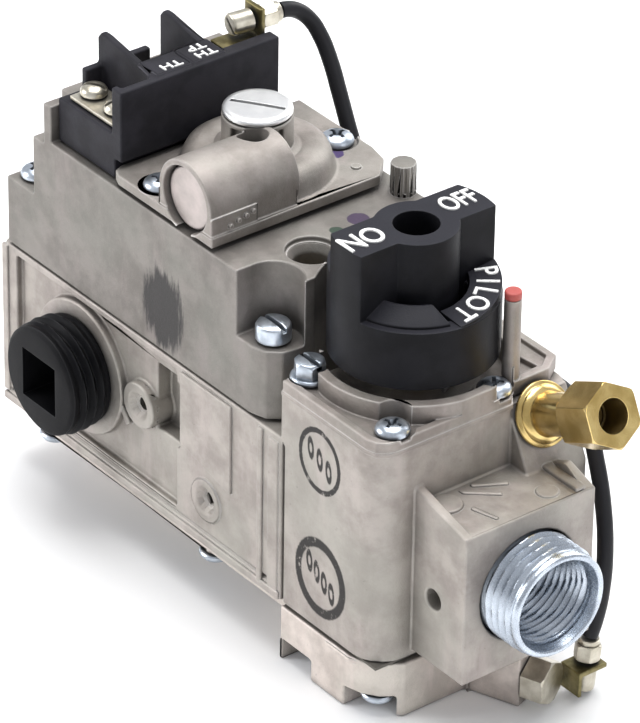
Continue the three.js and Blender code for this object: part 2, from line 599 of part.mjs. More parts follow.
function lowerTab() {
  return join(box(125.2, 130.6, 34.4, 41.0, 5.4, 6.4), box(125.2, 130.6, 34.4, 35.2, 1.2, 6.4));
}

// Hexagonal end of the magnet unit on the slanted face of its housing.
const HOUSING_FACE = [123.9, 28.1, 5.2];
const HOUSING_AIM = [0.933, 0.36, 0];

function magnetNut() {
  return aimed(rod('x', 0, 0, GAP, 4.9, 4.5, 6), HOUSING_FACE, HOUSING_AIM);
}

function bodyGasket() {
  const sheet = box(2.4, 82.6, 0.5, 42.7, PARTING - 0.2, PARTING + 0.2);
  const chamber = box(34, 78, 10, 34, 40, 60);
  const inletRoom = box(20, 33, 12, 32, 40, 60);
  const holes = UPPER_SCREWS.map(([x, y]) => rod('z', x, y, 40, 60, 2.1, 8));
  const corner = cut(box(75, 90, -5, 8, 40, 60), rod('z', 76.5, 6.5, 30, 70, 5.8, 24),
    box(60, 76.5, -6, 9, 30, 70), box(60, 90, 6.5, 9, 30, 70));
  return cut(sheet, chamber, inletRoom, corner, ...holes);
}

// The main valve: a rubber-faced disc on a stem, held down on its seat by a light spring.
const SPRING_WELL_TOP = 60;

function mainValve() {
  const stemTop = SPRING_WELL_TOP - LIFT - 1;
  return turned(VALVE_X, MID_Y, [
    [0, 36.0], [1.4, 36.0], [1.4, 44.4], [7.4, 44.4], [7.4, 47.0], [1.4, 47.6],
    [1.4, stemTop], [0, stemTop],
  ], 24);
}

function valveSeat() {
  const ring = cut(rod('z', VALVE_X, MID_Y, 41.4, 44.1, 9.5, 28), rod('z', VALVE_X, MID_Y, 40, 46, 6, 24));
  const spokes = join(
    box(VALVE_X - 6.5, VALVE_X + 6.5, MID_Y - 0.6, MID_Y + 0.6, 41.4, 42.6),
    rod('z', VALVE_X, MID_Y, 41.4, 43, 2.6, 16));
  const shelf = box(50, 77.7, 10.3, 33.7, 41.4, 43.0);
  const open = cut(shelf, rod('z', VALVE_X, MID_Y, 40, 46, 6, 24));
  return cut(join(ring, spokes, open), rod('z', VALVE_X, MID_Y, 40, 46, 1.7, 16));
}

// Brass adjusting screw at the bottom of the counterbored hole in the top face.
function bleedScrew() {
  const body = rod('z', ...BORE_AT, 62, 69.6, 3.1, 20);
  return cut(body, box(BORE_AT[0] - 4, BORE_AT[0] + 4, BORE_AT[1] - 0.5, BORE_AT[1] + 0.5, 68.4, 72));
}

function regulatorDiaphragm() {
  const floor = UPPER_TOP + 0.2;
  return turned(REG_X, REG_Y, [
    [0, floor], [13.6, floor], [13.6, floor + 0.5], [6.0, floor + 0.5], [6.0, floor + 1.1], [0, floor + 1.1],
  ], 32);
}

// ---- assembly ------------------------------------------------------------------------------
addPiece('main_body', mainBody(), 'casting');
addPiece('control_bonnet', controlBonnet(), 'casting');
addPiece('bonnet_screw_1', hexWasherScrew(...BONNET_SCREWS[0], BONNET_TOP + GAP, 9), 'zinc');
addPiece('bonnet_screw_2', panScrew(...BONNET_SCREWS[1], BONNET_TOP + GAP, 9), 'zinc');
addPiece('bonnet_screw_3', panScrew(...BONNET_SCREWS[2], BONNET_TOP + GAP, 9), 'zinc');

addPiece('gas_knob', gasKnob(), 'knob');
addPiece('cock_plug', cockPlug(), 'brass');
addPiece('knob_spring', coil(KNOB_X, KNOB_Y, WELL_FLOOR + GAP, KNOB_HOLLOW - GAP, 8.6, 0.55, 5), 'steel');
addPiece('safety_valve', safetyValve(), 'steel');
addPiece('safety_spring', coil(KNOB_X, KNOB_Y, COVER_SKIN + GAP, 24.2, 6.2, 0.6, 6), 'steel');
addPiece('magnet_core', rod('z', KNOB_X, KNOB_Y, COVER_SKIN + GAP, 18.6, 4.8, 24), 'steel');

addPiece('outlet_bushing', outletBushing(), 'zinc');
addPiece('inlet_plug', inletPlug(), 'plug');
addPiece('pilot_fitting', pilotFitting(), 'brass');
addPiece('pilot_tube_nut', pilotTubeNut(), 'brass');

addPiece('bottom_cover', bottomCover(), 'casting');
addPiece('bottom_gasket', bottomGasket(), 'paper');
BOTTOM_SCREWS.forEach(([x, y], index) => {
  addPiece(`bottom_screw_${index + 1}`, invertedScrew(x, y, 4.1, 14), 'zinc');
});
REAR_SCREWS.forEach(([x, y], index) => {
  addPiece(`rear_screw_${index + 1}`, invertedScrew(x, y, BODY_BOTTOM - 4.2, 8.5), 'zinc');
});

addPiece('upper_casting', upperCasting(), 'casting');
addPiece('body_gasket', bodyGasket(), 'paper');
UPPER_SCREWS.forEach(([x, y], index) => {
  const screw = index === 0 ? cheeseScrew : panScrew;
  addPiece(`body_screw_${index + 1}`, screw(x, y, LEDGE + GAP, 20), 'zinc');
});
addPiece('main_valve', mainValve(), 'steel');
addPiece('main_valve_spring', coil(VALVE_X, MID_Y, 48.2, SPRING_WELL_TOP - GAP, 5.6, 0.6, 4), 'steel');
addPiece('valve_seat', valveSeat(), 'brass');
addPiece('bleed_screw', bleedScrew(), 'brass');

addPiece('regulator_diaphragm', regulatorDiaphragm(), 'rubber');
addPiece('regulator_cover', regulatorCover(), 'casting');
addPiece('regulator_spring', coil(REG_X, REG_Y, 77.6, 82.8, 4.0, 0.5, 3), 'steel');
addPiece('regulator_adjuster', rod('z', REG_X, REG_Y, 83.1, 85.5, 4.6, 20), 'plastic');
addPiece('regulator_cap', regulatorCap(), 'aluminium');
addPiece('side_bore_plug', rod('y', ...SIDE_BORE, 0.6, 3.6, 6.2, 28), 'aluminium');
addPiece('regulator_tap_screw', panScrew(...PIN_AT, 85.9, 4, true, 2.3, 1.4), 'steel');
COVER_SCREWS.forEach(([x, y], index) => {
  addPiece(`cover_screw_${index + 1}`, panScrew(x, y, 78.5, 8), 'zinc');
});

addPiece('terminal_block', terminalBlock(), 'plastic');
TERMINAL_PLATES.forEach((edges, index) => {
  addPiece(`terminal_plate_${index + 1}`, terminalPlate(...edges), 'nickel');
});
TERMINAL_SCREWS.forEach(([x, y], index) => {
  addPiece(`terminal_screw_${index + 1}`, panScrew(x, y, 86.6, 5, true, 2.6, 1.5), 'nickel');
});

addPiece('upper_tab', upperTab(), 'olive');
addPiece('upper_lead_screw', leadScrew(TOP_END, TOP_AIM), 'zinc');
addPiece('upper_ferrule', ferrule(TOP_END, TOP_AIM), 'nickel');
addPiece('lower_tab', lowerTab(), 'olive');
addPiece('lower_lead_screw', leadScrew(LOW_END, LOW_AIM), 'zinc');
addPiece('lower_ferrule', ferrule(LOW_END, LOW_AIM), 'nickel');
addPiece('magnet_nut', magnetNut(), 'nickel');
addPiece('lead', leadTube(), 'lead');

valve.position.set(-CENTRE_X, -CENTRE_Y, 0);
export default valve;
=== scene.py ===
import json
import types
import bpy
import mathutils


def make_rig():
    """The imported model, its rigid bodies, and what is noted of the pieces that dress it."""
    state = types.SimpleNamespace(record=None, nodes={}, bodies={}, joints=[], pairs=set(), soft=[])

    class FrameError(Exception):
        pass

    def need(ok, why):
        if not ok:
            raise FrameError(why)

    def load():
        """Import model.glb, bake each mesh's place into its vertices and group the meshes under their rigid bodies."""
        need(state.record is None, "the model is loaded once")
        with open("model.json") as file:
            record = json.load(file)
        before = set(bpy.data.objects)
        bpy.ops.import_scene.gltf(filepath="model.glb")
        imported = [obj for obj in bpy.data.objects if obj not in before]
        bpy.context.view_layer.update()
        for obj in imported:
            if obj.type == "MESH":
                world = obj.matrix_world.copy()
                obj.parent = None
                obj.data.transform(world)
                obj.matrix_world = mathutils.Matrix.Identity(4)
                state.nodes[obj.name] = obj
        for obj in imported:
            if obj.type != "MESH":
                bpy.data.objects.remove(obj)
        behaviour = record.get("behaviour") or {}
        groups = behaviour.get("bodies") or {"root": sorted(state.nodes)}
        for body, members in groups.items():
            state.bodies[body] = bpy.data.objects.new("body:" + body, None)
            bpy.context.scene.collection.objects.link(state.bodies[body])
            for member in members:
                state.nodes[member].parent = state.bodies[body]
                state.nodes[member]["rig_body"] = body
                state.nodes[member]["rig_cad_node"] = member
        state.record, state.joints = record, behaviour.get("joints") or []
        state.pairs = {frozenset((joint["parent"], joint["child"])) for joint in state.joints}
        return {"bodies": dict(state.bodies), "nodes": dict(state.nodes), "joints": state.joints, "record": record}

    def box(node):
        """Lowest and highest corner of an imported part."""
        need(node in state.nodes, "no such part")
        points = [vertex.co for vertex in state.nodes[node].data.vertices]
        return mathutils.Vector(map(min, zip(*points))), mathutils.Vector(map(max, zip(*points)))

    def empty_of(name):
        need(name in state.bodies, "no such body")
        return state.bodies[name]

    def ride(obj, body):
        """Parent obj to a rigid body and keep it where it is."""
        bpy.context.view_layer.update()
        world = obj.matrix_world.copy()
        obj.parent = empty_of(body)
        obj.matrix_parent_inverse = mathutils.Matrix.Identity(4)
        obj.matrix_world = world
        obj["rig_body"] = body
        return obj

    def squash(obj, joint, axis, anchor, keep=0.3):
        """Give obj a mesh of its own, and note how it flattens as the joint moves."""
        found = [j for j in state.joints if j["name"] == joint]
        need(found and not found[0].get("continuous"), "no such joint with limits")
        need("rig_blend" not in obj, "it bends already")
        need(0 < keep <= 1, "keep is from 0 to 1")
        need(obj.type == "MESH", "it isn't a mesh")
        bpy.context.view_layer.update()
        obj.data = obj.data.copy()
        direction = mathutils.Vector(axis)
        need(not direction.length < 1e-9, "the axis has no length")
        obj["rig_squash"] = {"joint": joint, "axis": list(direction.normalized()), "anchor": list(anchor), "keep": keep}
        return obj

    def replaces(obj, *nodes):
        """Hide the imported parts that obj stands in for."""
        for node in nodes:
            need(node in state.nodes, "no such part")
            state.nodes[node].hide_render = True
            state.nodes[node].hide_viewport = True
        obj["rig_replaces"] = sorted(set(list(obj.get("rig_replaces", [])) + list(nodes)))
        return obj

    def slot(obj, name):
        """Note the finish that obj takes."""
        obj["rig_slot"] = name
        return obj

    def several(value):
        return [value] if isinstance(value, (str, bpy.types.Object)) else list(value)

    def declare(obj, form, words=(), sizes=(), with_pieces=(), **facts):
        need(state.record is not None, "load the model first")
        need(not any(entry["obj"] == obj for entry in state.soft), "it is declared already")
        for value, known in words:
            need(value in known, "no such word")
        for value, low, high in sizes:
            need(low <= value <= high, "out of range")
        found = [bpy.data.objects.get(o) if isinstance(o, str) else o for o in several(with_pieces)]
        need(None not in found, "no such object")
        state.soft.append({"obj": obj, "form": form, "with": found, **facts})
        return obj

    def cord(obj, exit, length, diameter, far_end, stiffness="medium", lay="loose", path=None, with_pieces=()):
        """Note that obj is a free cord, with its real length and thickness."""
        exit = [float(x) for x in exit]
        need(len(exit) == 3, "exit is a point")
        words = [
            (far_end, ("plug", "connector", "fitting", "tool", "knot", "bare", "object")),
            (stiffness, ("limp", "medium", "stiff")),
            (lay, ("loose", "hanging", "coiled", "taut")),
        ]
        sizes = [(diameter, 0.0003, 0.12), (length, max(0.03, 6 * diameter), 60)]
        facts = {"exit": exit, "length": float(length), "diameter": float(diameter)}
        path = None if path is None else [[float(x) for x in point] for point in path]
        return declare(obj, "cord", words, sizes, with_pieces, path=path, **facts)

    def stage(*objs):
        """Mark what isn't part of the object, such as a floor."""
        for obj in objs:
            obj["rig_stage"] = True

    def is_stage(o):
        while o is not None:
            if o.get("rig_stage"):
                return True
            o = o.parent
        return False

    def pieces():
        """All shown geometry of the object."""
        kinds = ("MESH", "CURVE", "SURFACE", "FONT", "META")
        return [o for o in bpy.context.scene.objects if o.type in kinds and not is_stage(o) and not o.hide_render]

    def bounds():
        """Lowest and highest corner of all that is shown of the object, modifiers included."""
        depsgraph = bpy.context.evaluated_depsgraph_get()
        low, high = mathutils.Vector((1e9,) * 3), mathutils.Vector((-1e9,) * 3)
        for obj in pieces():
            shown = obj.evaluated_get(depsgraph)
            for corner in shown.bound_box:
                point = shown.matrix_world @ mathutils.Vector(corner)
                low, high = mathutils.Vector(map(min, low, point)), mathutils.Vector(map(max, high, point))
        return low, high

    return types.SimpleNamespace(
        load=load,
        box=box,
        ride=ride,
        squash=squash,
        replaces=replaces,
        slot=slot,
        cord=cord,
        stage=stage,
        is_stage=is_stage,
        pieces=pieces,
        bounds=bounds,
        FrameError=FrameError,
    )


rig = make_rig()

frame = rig.load()

import json
import math

import bpy
from mathutils import Matrix, Vector

cad_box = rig.bounds()

# ---- Studio ---------------------------------------------------------------------------------
# The valve stands on a pale bench top and is seen from its outlet end, near side, from above.
# Large soft lights stand over it and to both sides, as for a parts catalogue.
MM = 0.001
bpy.context.scene.view_settings.view_transform = "Standard"

aim_point = Vector((-3.2, 2.65, 46.6)) * MM
VIEW_DISTANCE = 1.047
azimuth, elevation, roll = math.radians(51.98), math.radians(31.99), math.radians(0.76)
view_back = Vector((math.sin(azimuth) * math.cos(elevation),
                    -math.cos(azimuth) * math.cos(elevation), math.sin(elevation)))
level_right = Vector((math.cos(azimuth), math.sin(azimuth), 0))
level_up = view_back.cross(level_right)
view_right = level_right * math.cos(roll) + level_up * math.sin(roll)
view_up = level_up * math.cos(roll) - level_right * math.sin(roll)
camera = bpy.data.objects.new("camera", bpy.data.cameras.new("camera"))
bpy.context.collection.objects.link(camera)
camera.matrix_world = Matrix.Translation(aim_point + view_back * VIEW_DISTANCE) @ Matrix(
    (view_right, view_up, view_back)).transposed().to_4x4()
camera.data.lens = 285.1
camera.data.sensor_width = 36
camera.data.shift_x = 0.029
camera.data.shift_y = -0.0048
camera.data.clip_start = 0.05
bpy.context.scene.camera = camera


def softbox(name, place, size, power):
    """A square soft light turned towards the middle of the valve."""
    lamp = bpy.data.objects.new(name, bpy.data.lights.new(name, "AREA"))
    bpy.context.collection.objects.link(lamp)
    lamp.location = place
    lamp.rotation_euler = (Vector((0, 0, 0.05)) - Vector(place)).to_track_quat("-Z", "Y").to_euler()
    lamp.data.size = size
    lamp.data.energy = power


softbox("overhead_light", (-0.1, 0.1, 0.95), 0.7, 10)
softbox("near_side_light", (-0.72, -0.82, 0.45), 0.5, 6.8)
softbox("outlet_side_light", (0.95, 0.15, 0.4), 0.5, 1.2)
softbox("far_side_light", (-0.2, 0.9, 0.5), 0.6, 4.5)

world = bpy.data.worlds.new("studio")
bpy.context.scene.world = world
world.use_nodes = True
world.node_tree.nodes["Background"].inputs["Color"].default_value = (0.93, 0.95, 1.0, 1)
world.node_tree.nodes["Background"].inputs["Strength"].default_value = 0.55

# ---- Lead between the terminals and the magnet unit -------------------------------------------
# A single insulated conductor 3.1 mm thick, crimped into a ferrule at each end.
# It bows out behind the valve from the terminal block and comes round under the outlet.


class Value:
    """A number or colour that varies over a surface; arithmetic on it adds Math nodes."""

    def __init__(self, finish, socket):
        self.finish = finish
        self.socket = socket

    def _maths(self, operation, other, swapped=False):
        first, second = (other, self) if swapped else (self, other)
        return self.finish.node("ShaderNodeMath", {"operation": operation}, {0: first, 1: second})

    def __add__(self, other):
        return self._maths("ADD", other)

    def __radd__(self, other):
        return self._maths("ADD", other, True)

    def __sub__(self, other):
        return self._maths("SUBTRACT", other)

    def __rsub__(self, other):
        return self._maths("SUBTRACT", other, True)

    def __mul__(self, other):
        return self._maths("MULTIPLY", other)

    def __rmul__(self, other):
        return self._maths("MULTIPLY", other, True)

    def __truediv__(self, other):
        return self._maths("DIVIDE", other)

    def __pow__(self, other):
        return self._maths("POWER", other)

    def larger(self, other):
        return self._maths("MAXIMUM", other)

    def size(self):
        return self.finish.node("ShaderNodeMath", {"operation": "ABSOLUTE"}, {0: self})


class Finish:
    """A procedural material on the frame's own coordinates, in metres."""

    def __init__(self, name, **constants):
        self.material = bpy.data.materials.new(name)
        self.material.use_nodes = True
        self.tree = self.material.node_tree
        self.shader = self.tree.nodes["Principled BSDF"]
        for words, value in constants.items():
            socket = words.replace("_", " ").title().replace("Ior", "IOR")
            self.shader.inputs[socket].default_value = value
        self.place = self.node("ShaderNodeTexCoord", output="Object")

    def node(self, kind, settings=None, inputs=None, output=0):
        made = self.tree.nodes.new(kind)
        for name, value in (settings or {}).items():
            if name == "stops":
                for stop, (at_value, colour) in zip(made.color_ramp.elements, value):
                    stop.position = at_value
                    stop.color = (*colour, 1)
            else:
                setattr(made, name, value)
        for name, value in (inputs or {}).items():
            if isinstance(value, Value):
                self.tree.links.new(value.socket, made.inputs[name])
            else:
                made.inputs[name].default_value = value
        return Value(self, made.outputs[output])

    def noise(self, grain_mm, detail=3.0, rough=0.55, stretch=(1, 1, 1), shift=0.0):
        spread = [value / (grain_mm * MM) for value in stretch]
        where = self.node("ShaderNodeMapping", None,
                          {"Vector": self.place, "Scale": spread, "Location": (shift, shift, shift)})
        return self.node("ShaderNodeTexNoise", None,
                         {"Vector": where, "Scale": 1.0, "Detail": detail, "Roughness": rough})

    def fade(self, value, low, high):
        return self.node("ShaderNodeMapRange", {"interpolation_type": "SMOOTHSTEP"},
                         {"Value": value, "From Min": low, "From Max": high})

    def blend(self, share, first, second):
        colour = [(*value, 1) if isinstance(value, tuple) and len(value) == 3 else value
                  for value in (first, second)]
        return self.node("ShaderNodeMix", {"data_type": "RGBA"},
                         {0: share, 6: colour[0], 7: colour[1]}, output=2)

    def axis(self, letter):
        return self.node("ShaderNodeSeparateXYZ", None, {0: self.place}, output=letter)

    def facing(self, letter):
        direction = self.node("ShaderNodeNewGeometry", output="Normal")
        return self.node("ShaderNodeSeparateXYZ", None, {0: direction}, output=letter)

    def drawn(self, letter):
        """Distance along one axis from the inlet end, the near face or the base, in millimetres."""
        return self.axis(letter) * 1000 - getattr(origin, letter.lower()) * 1000

    def edges(self, width_mm):
        """One along edges, fading to nought on open faces: how far the rounded normal turns away."""
        plain = self.node("ShaderNodeNewGeometry", output="Normal")
        rounded = self.node("ShaderNodeBevel", {"samples": 4}, {"Radius": width_mm * MM})
        turn = self.node("ShaderNodeVectorMath", {"operation": "DOT_PRODUCT"},
                         {0: plain, 1: rounded}, output="Value")
        return self.fade(1 - turn, 0.01, 0.16)

    def hollows(self, reach_mm):
        """Painted shade: one deep in corners and recesses, nought in the open, read from ambient occlusion."""
        painted_light_level = self.node("ShaderNodeAmbientOcclusion", {"samples": 4}, {"Distance": reach_mm * MM},
                          output="AO")
        return 1 - self.fade(painted_light_level, 0.25, 0.85)

    def feed(self, socket, value):
        self.tree.links.new(value.socket, self.shader.inputs[socket])

    def bump(self, height, depth_mm, strength=1.0):
        shape = self.node("ShaderNodeBump", None,
                          {"Height": height, "Distance": depth_mm * MM, "Strength": strength})
        self.feed("Normal", shape)


def jacket_finish():
    finish = Finish("lead_jacket_finish", specular_ior_level=0.22)
    cloud = finish.noise(6, 4)
    grain = finish.noise(0.35, 3)
    finish.feed("Base Color", finish.blend(cloud, (0.008, 0.008, 0.01), (0.018, 0.018, 0.021)))
    finish.feed("Roughness", 0.34 + grain * 0.2)
    finish.bump(grain, 0.03)
    return finish.material


body_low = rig.box("main_body")[0]
BOSS_PROUD = 0.6  # how far the bracket bosses stand out of the near face
origin = Vector((body_low[0], body_low[1] + BOSS_PROUD * MM, 0))


def at(x, y, z):
    """A place measured from the inlet end, the near face and the base, in millimetres."""
    return origin + Vector((x, y, z)) * MM


LEAD_ROUTE = [
    (30.62, 41.9, 96.4), (30.7, 43.4, 96.25), (31.0, 45.7, 95.3), (31.9, 47.8, 93.3), (33.5, 49.2, 90.0),
    (35.8, 49.8, 85.6), (38.8, 49.8, 79.8), (42.2, 49.7, 73.2), (46.4, 49.5, 66.2), (52.0, 49.2, 59.6),
    (59.8, 49.0, 54.2), (69.4, 49.0, 50.9), (80.0, 48.9, 49.6), (91.0, 48.8, 49.5), (101.6, 48.7, 49.9),
    (110.0, 48.0, 49.7), (116.4, 46.4, 47.4), (121.2, 44.7, 42.6), (124.8, 43.4, 36.2), (127.2, 42.2, 28.4),
    (128.1, 41.0, 20.6), (128.0, 39.9, 15.0), (127.8, 38.95, 11.8),
]
LEAD_LENGTH = 0.1541
LEAD_THICKNESS = 0.0031

lead_line = bpy.data.curves.new("lead_cable", "CURVE")
lead_line.dimensions = "3D"
lead_line.bevel_depth = LEAD_THICKNESS / 2
lead_line.bevel_resolution = 5
lead_line.resolution_u = 10
lead_line.use_fill_caps = True
spline = lead_line.splines.new("BEZIER")
spline.bezier_points.add(len(LEAD_ROUTE) - 1)
for point, stop in zip(spline.bezier_points, LEAD_ROUTE):
    point.co = at(*stop)
    point.handle_left_type = point.handle_right_type = "AUTO"
lead = bpy.data.objects.new("lead_cable", lead_line)
bpy.context.collection.objects.link(lead)
lead.data.materials.append(jacket_finish())
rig.replaces(lead, "lead")
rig.ride(lead, "valve_body")
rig.slot(lead, "lead_jacket")
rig.cord(lead, exit=at(*LEAD_ROUTE[0]), length=LEAD_LENGTH, diameter=LEAD_THICKNESS,
        far_end="object", stiffness="stiff", lay="loose")

# ---- Lower casting ----------------------------------------------------------------------------
# The pressure die-cast aluminium body: a long inlet half, the square control block and the
# outlet neck in one casting, left raw, with drilled bosses and a recessed panel on the near face.


def activate(piece, *others):
    bpy.ops.object.select_all(action="DESELECT")
    for one in (piece, *others):
        one.select_set(True)
    bpy.context.view_layer.objects.active = piece


def settle():
    bpy.ops.object.transform_apply(location=True, rotation=True, scale=True)


def apply_all(piece):
    activate(piece)
    for modifier in list(piece.modifiers):
        bpy.ops.object.modifier_apply(modifier=modifier.name)


def block(x0, x1, y0, y1, z0, z1):
    bpy.ops.object.select_all(action="DESELECT")
    bpy.ops.mesh.primitive_cube_add(size=1, location=at((x0 + x1) / 2, (y0 + y1) / 2, (z0 + z1) / 2))
    piece = bpy.context.object
    piece.scale = ((x1 - x0) * MM, (y1 - y0) * MM, (z1 - z0) * MM)
    settle()
    return piece


def rod(start, end, radius, sides=64, end_radius=None):
    """A round bar between two places in millimetres."""
    low, high = at(*start), at(*end)
    bpy.ops.object.select_all(action="DESELECT")
    bpy.ops.mesh.primitive_cone_add(
        vertices=sides, radius1=radius * MM, radius2=(radius if end_radius is None else end_radius) * MM,
        depth=(high - low).length, location=(low + high) / 2,
        rotation=(high - low).to_track_quat("Z", "Y").to_euler())
    settle()
    return bpy.context.object


def upright(x, y, z0, z1, radius, sides=64, end_radius=None):
    return rod((x, y, z0), (x, y, z1), radius, sides, end_radius)


def outline(points, depth, low, along="Z"):
    """A flat outline raised by depth; along Z its points are x and y, along Y they are x and z."""
    mesh = bpy.data.meshes.new("outline")
    if along == "Z":
        corners = [at(x, y, low) for x, y in points]
        lift = Vector((0, 0, depth * MM))
    else:
        corners = [at(x, low, z) for x, z in points]
        lift = Vector((0, depth * MM, 0))
    mesh.from_pydata(corners, [], [list(range(len(corners)))])
    piece = bpy.data.objects.new("outline", mesh)
    bpy.context.collection.objects.link(piece)
    activate(piece)
    bpy.ops.object.mode_set(mode="EDIT")
    bpy.ops.mesh.select_all(action="SELECT")
    bpy.ops.mesh.extrude_region_move(TRANSFORM_OT_translate={"value": lift})
    bpy.ops.mesh.select_all(action="SELECT")
    bpy.ops.mesh.normals_make_consistent(inside=False)
    bpy.ops.object.mode_set(mode="OBJECT")
    return piece


def turned(start, direction, profile, steps=64, ridge=None):
    """A shape turned about a line: the profile holds radius and distance along it, in millimetres.
    ridge gives each point's extra radius from its radius, distance and angle, for threads."""
    mesh = bpy.data.meshes.new("turned")
    corners = [(radius * MM, 0, distance * MM) for radius, distance in profile]
    mesh.from_pydata(corners, [(index, index + 1) for index in range(len(corners) - 1)], [])
    piece = bpy.data.objects.new("turned", mesh)
    bpy.context.collection.objects.link(piece)
    activate(piece)
    bpy.ops.object.mode_set(mode="EDIT")
    bpy.ops.mesh.select_all(action="SELECT")
    bpy.ops.mesh.spin(steps=steps, angle=2 * math.pi, center=(0, 0, 0), axis=(0, 0, 1))
    bpy.ops.mesh.select_all(action="SELECT")
    bpy.ops.mesh.remove_doubles(threshold=1e-6)
    bpy.ops.mesh.normals_make_consistent(inside=False)
    bpy.ops.object.mode_set(mode="OBJECT")
    if ridge:
        for vertex in piece.data.vertices:
            radius = math.hypot(vertex.co.x, vertex.co.y)
            if radius > 1e-6:
                angle = math.atan2(vertex.co.y, vertex.co.x)
                grow = ridge(radius / MM, vertex.co.z / MM, angle) * MM
                vertex.co.x *= 1 + grow / radius
                vertex.co.y *= 1 + grow / radius
    piece.rotation_euler = Vector(direction).to_track_quat("Z", "Y").to_euler()
    piece.location = at(*start)
    settle()
    return piece


def combine(piece, other, operation):
    modifier = piece.modifiers.new("combine", "BOOLEAN")
    modifier.operation = operation
    modifier.solver = "EXACT"
    modifier.object = other
    apply_all(piece)
    bpy.data.objects.remove(other)
    return piece


def carve(piece, *cutters):
    for cutter in cutters:
        combine(piece, cutter, "DIFFERENCE")
    return piece


def weld(piece, *others):
    for other in others:
        combine(piece, other, "UNION")
    return piece


def gather(piece, *others):
    """Several separate shells in one piece, such as beads standing on a casting."""
    activate(piece, *others)
    bpy.ops.object.join()
    return piece


def soften(piece, width, segments=2, angle=30, smooth=35):
    """Rounds the edges sharper than the angle and shades the rest smooth."""
    activate(piece)
    bpy.ops.object.mode_set(mode="EDIT")
    bpy.ops.mesh.select_all(action="SELECT")
    bpy.ops.mesh.remove_doubles(threshold=1e-6)
    bpy.ops.mesh.dissolve_limited(angle_limit=math.radians(0.4))
    bpy.ops.object.mode_set(mode="OBJECT")
    modifier = piece.modifiers.new("soften", "BEVEL")
    modifier.width = width * MM
    modifier.segments = segments
    modifier.limit_method = "ANGLE"
    modifier.angle_limit = math.radians(angle)
    modifier.use_clamp_overlap = False
    modifier.miter_outer = "MITER_ARC"
    apply_all(piece)
    return even(piece, smooth)


def even(piece, smooth=35):
    """Smooth shading that keeps large faces flat."""
    activate(piece)
    bpy.ops.object.shade_smooth_by_angle(angle=math.radians(smooth))
    modifier = piece.modifiers.new("even", "WEIGHTED_NORMAL")
    modifier.keep_sharp = True
    modifier.weight = 90
    apply_all(piece)
    return piece


def coat(piece, material):
    piece.data.materials.clear()
    piece.data.materials.append(material)
    return piece


def from_frame(node):
    """A copy of a frame node with its loose triangles merged and its flat faces joined up."""
    piece = bpy.data.objects.new(node, frame["nodes"][node].data.copy())
    bpy.context.collection.objects.link(piece)
    activate(piece)
    bpy.ops.object.mode_set(mode="EDIT")
    bpy.ops.mesh.select_all(action="SELECT")
    bpy.ops.mesh.remove_doubles(threshold=2e-6)
    bpy.ops.mesh.dissolve_limited(angle_limit=math.radians(0.6))
    bpy.ops.object.mode_set(mode="OBJECT")
    return piece


def fit(piece, name, nodes, slot, material=None, body="valve_body"):
    """Names a finished piece and puts it in the place of the nodes it stands for."""
    piece.name = name
    piece.data.name = name
    if material:
        coat(piece, material)
    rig.replaces(piece, *nodes)
    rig.ride(piece, body)
    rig.slot(piece, slot)
    return piece


def cast_metal(name, warm=0.0, marks=(), painted_light_level=1.0):
    """Raw die-cast aluminium: clouded grey skin, fine grain, bright rubbed edges, and corners darkened as painted
    shade.
    The whole skin is multiplied by a brightness factor: painted light and shade for how brightly each casting is lit.
    Each mark is a share and a colour laid over the skin."""
    finish = Finish(name)
    cloud = finish.noise(9, 6, 0.62)
    drift = finish.noise(21, 4, 0.5, shift=3.1)
    flow = finish.noise(5, 5, 0.6, stretch=(1, 1, 0.22), shift=7.7)
    grain = finish.noise(0.45, 4, 0.65)
    fine = finish.noise(0.16, 2, 0.5, shift=1.3)

    # Painted light and shade: the brightness factor lifts or lowers every tone of this casting's skin.
    def tone(red, green, blue):
        return (red + warm) * painted_light_level, green * painted_light_level, blue * painted_light_level

    skin = finish.blend(finish.fade(cloud, 0.34, 0.66),
                        tone(0.25, 0.228, 0.208), tone(0.37, 0.342, 0.315))
    skin = finish.blend(finish.fade(drift, 0.42, 0.64) * 0.45, skin, tone(0.30, 0.30, 0.266))
    skin = finish.blend(finish.fade(flow, 0.5, 0.72) * 0.4, skin, tone(0.42, 0.37, 0.352))
    speck = finish.fade(finish.noise(1.3, 5, 0.7, shift=5.5), 0.66, 0.74)
    skin = finish.blend(speck * 0.4, skin, (0.12, 0.11, 0.098))
    rubbed = finish.edges(0.5)
    # Painted shade: corners and recesses darkened towards near black by ambient occlusion.
    hollow_shade = finish.hollows(3.5)
    skin = finish.blend(hollow_shade * 0.72, skin, (0.075, 0.07, 0.066))
    skin = finish.blend(rubbed * (1 - hollow_shade) * 0.7, skin, (0.70, 0.68, 0.655))
    ink = None
    for mark in marks:
        share, colour = mark(finish)
        skin = finish.blend(share, skin, colour)
        ink = share if ink is None else ink.larger(share)
    finish.feed("Base Color", skin)
    rough = 0.42 + grain * 0.2 + cloud * 0.12
    metal = 0.72 - hollow_shade * 0.3
    if ink is not None:
        rough = rough + ink * 0.15
        metal = metal * (1 - ink * 0.85)
    finish.feed("Roughness", rough)
    finish.feed("Metallic", metal)
    finish.bump(grain * 0.6 + fine * 0.35 + cloud * 0.9, 0.10)
    return finish.material


STAMPS = [  # each ring's place, radius and line width, and the places of the ovals in it
    (97.6, 48.4, 6.2, 0.6, ((-2.9, 1.6), (0.0, 0.3), (2.9, -1.0))),
    (98.3, 23.8, 7.2, 1.1, ((-3.6, 2.2), (-1.2, 0.9), (1.2, -0.5), (3.6, -1.8))),
]


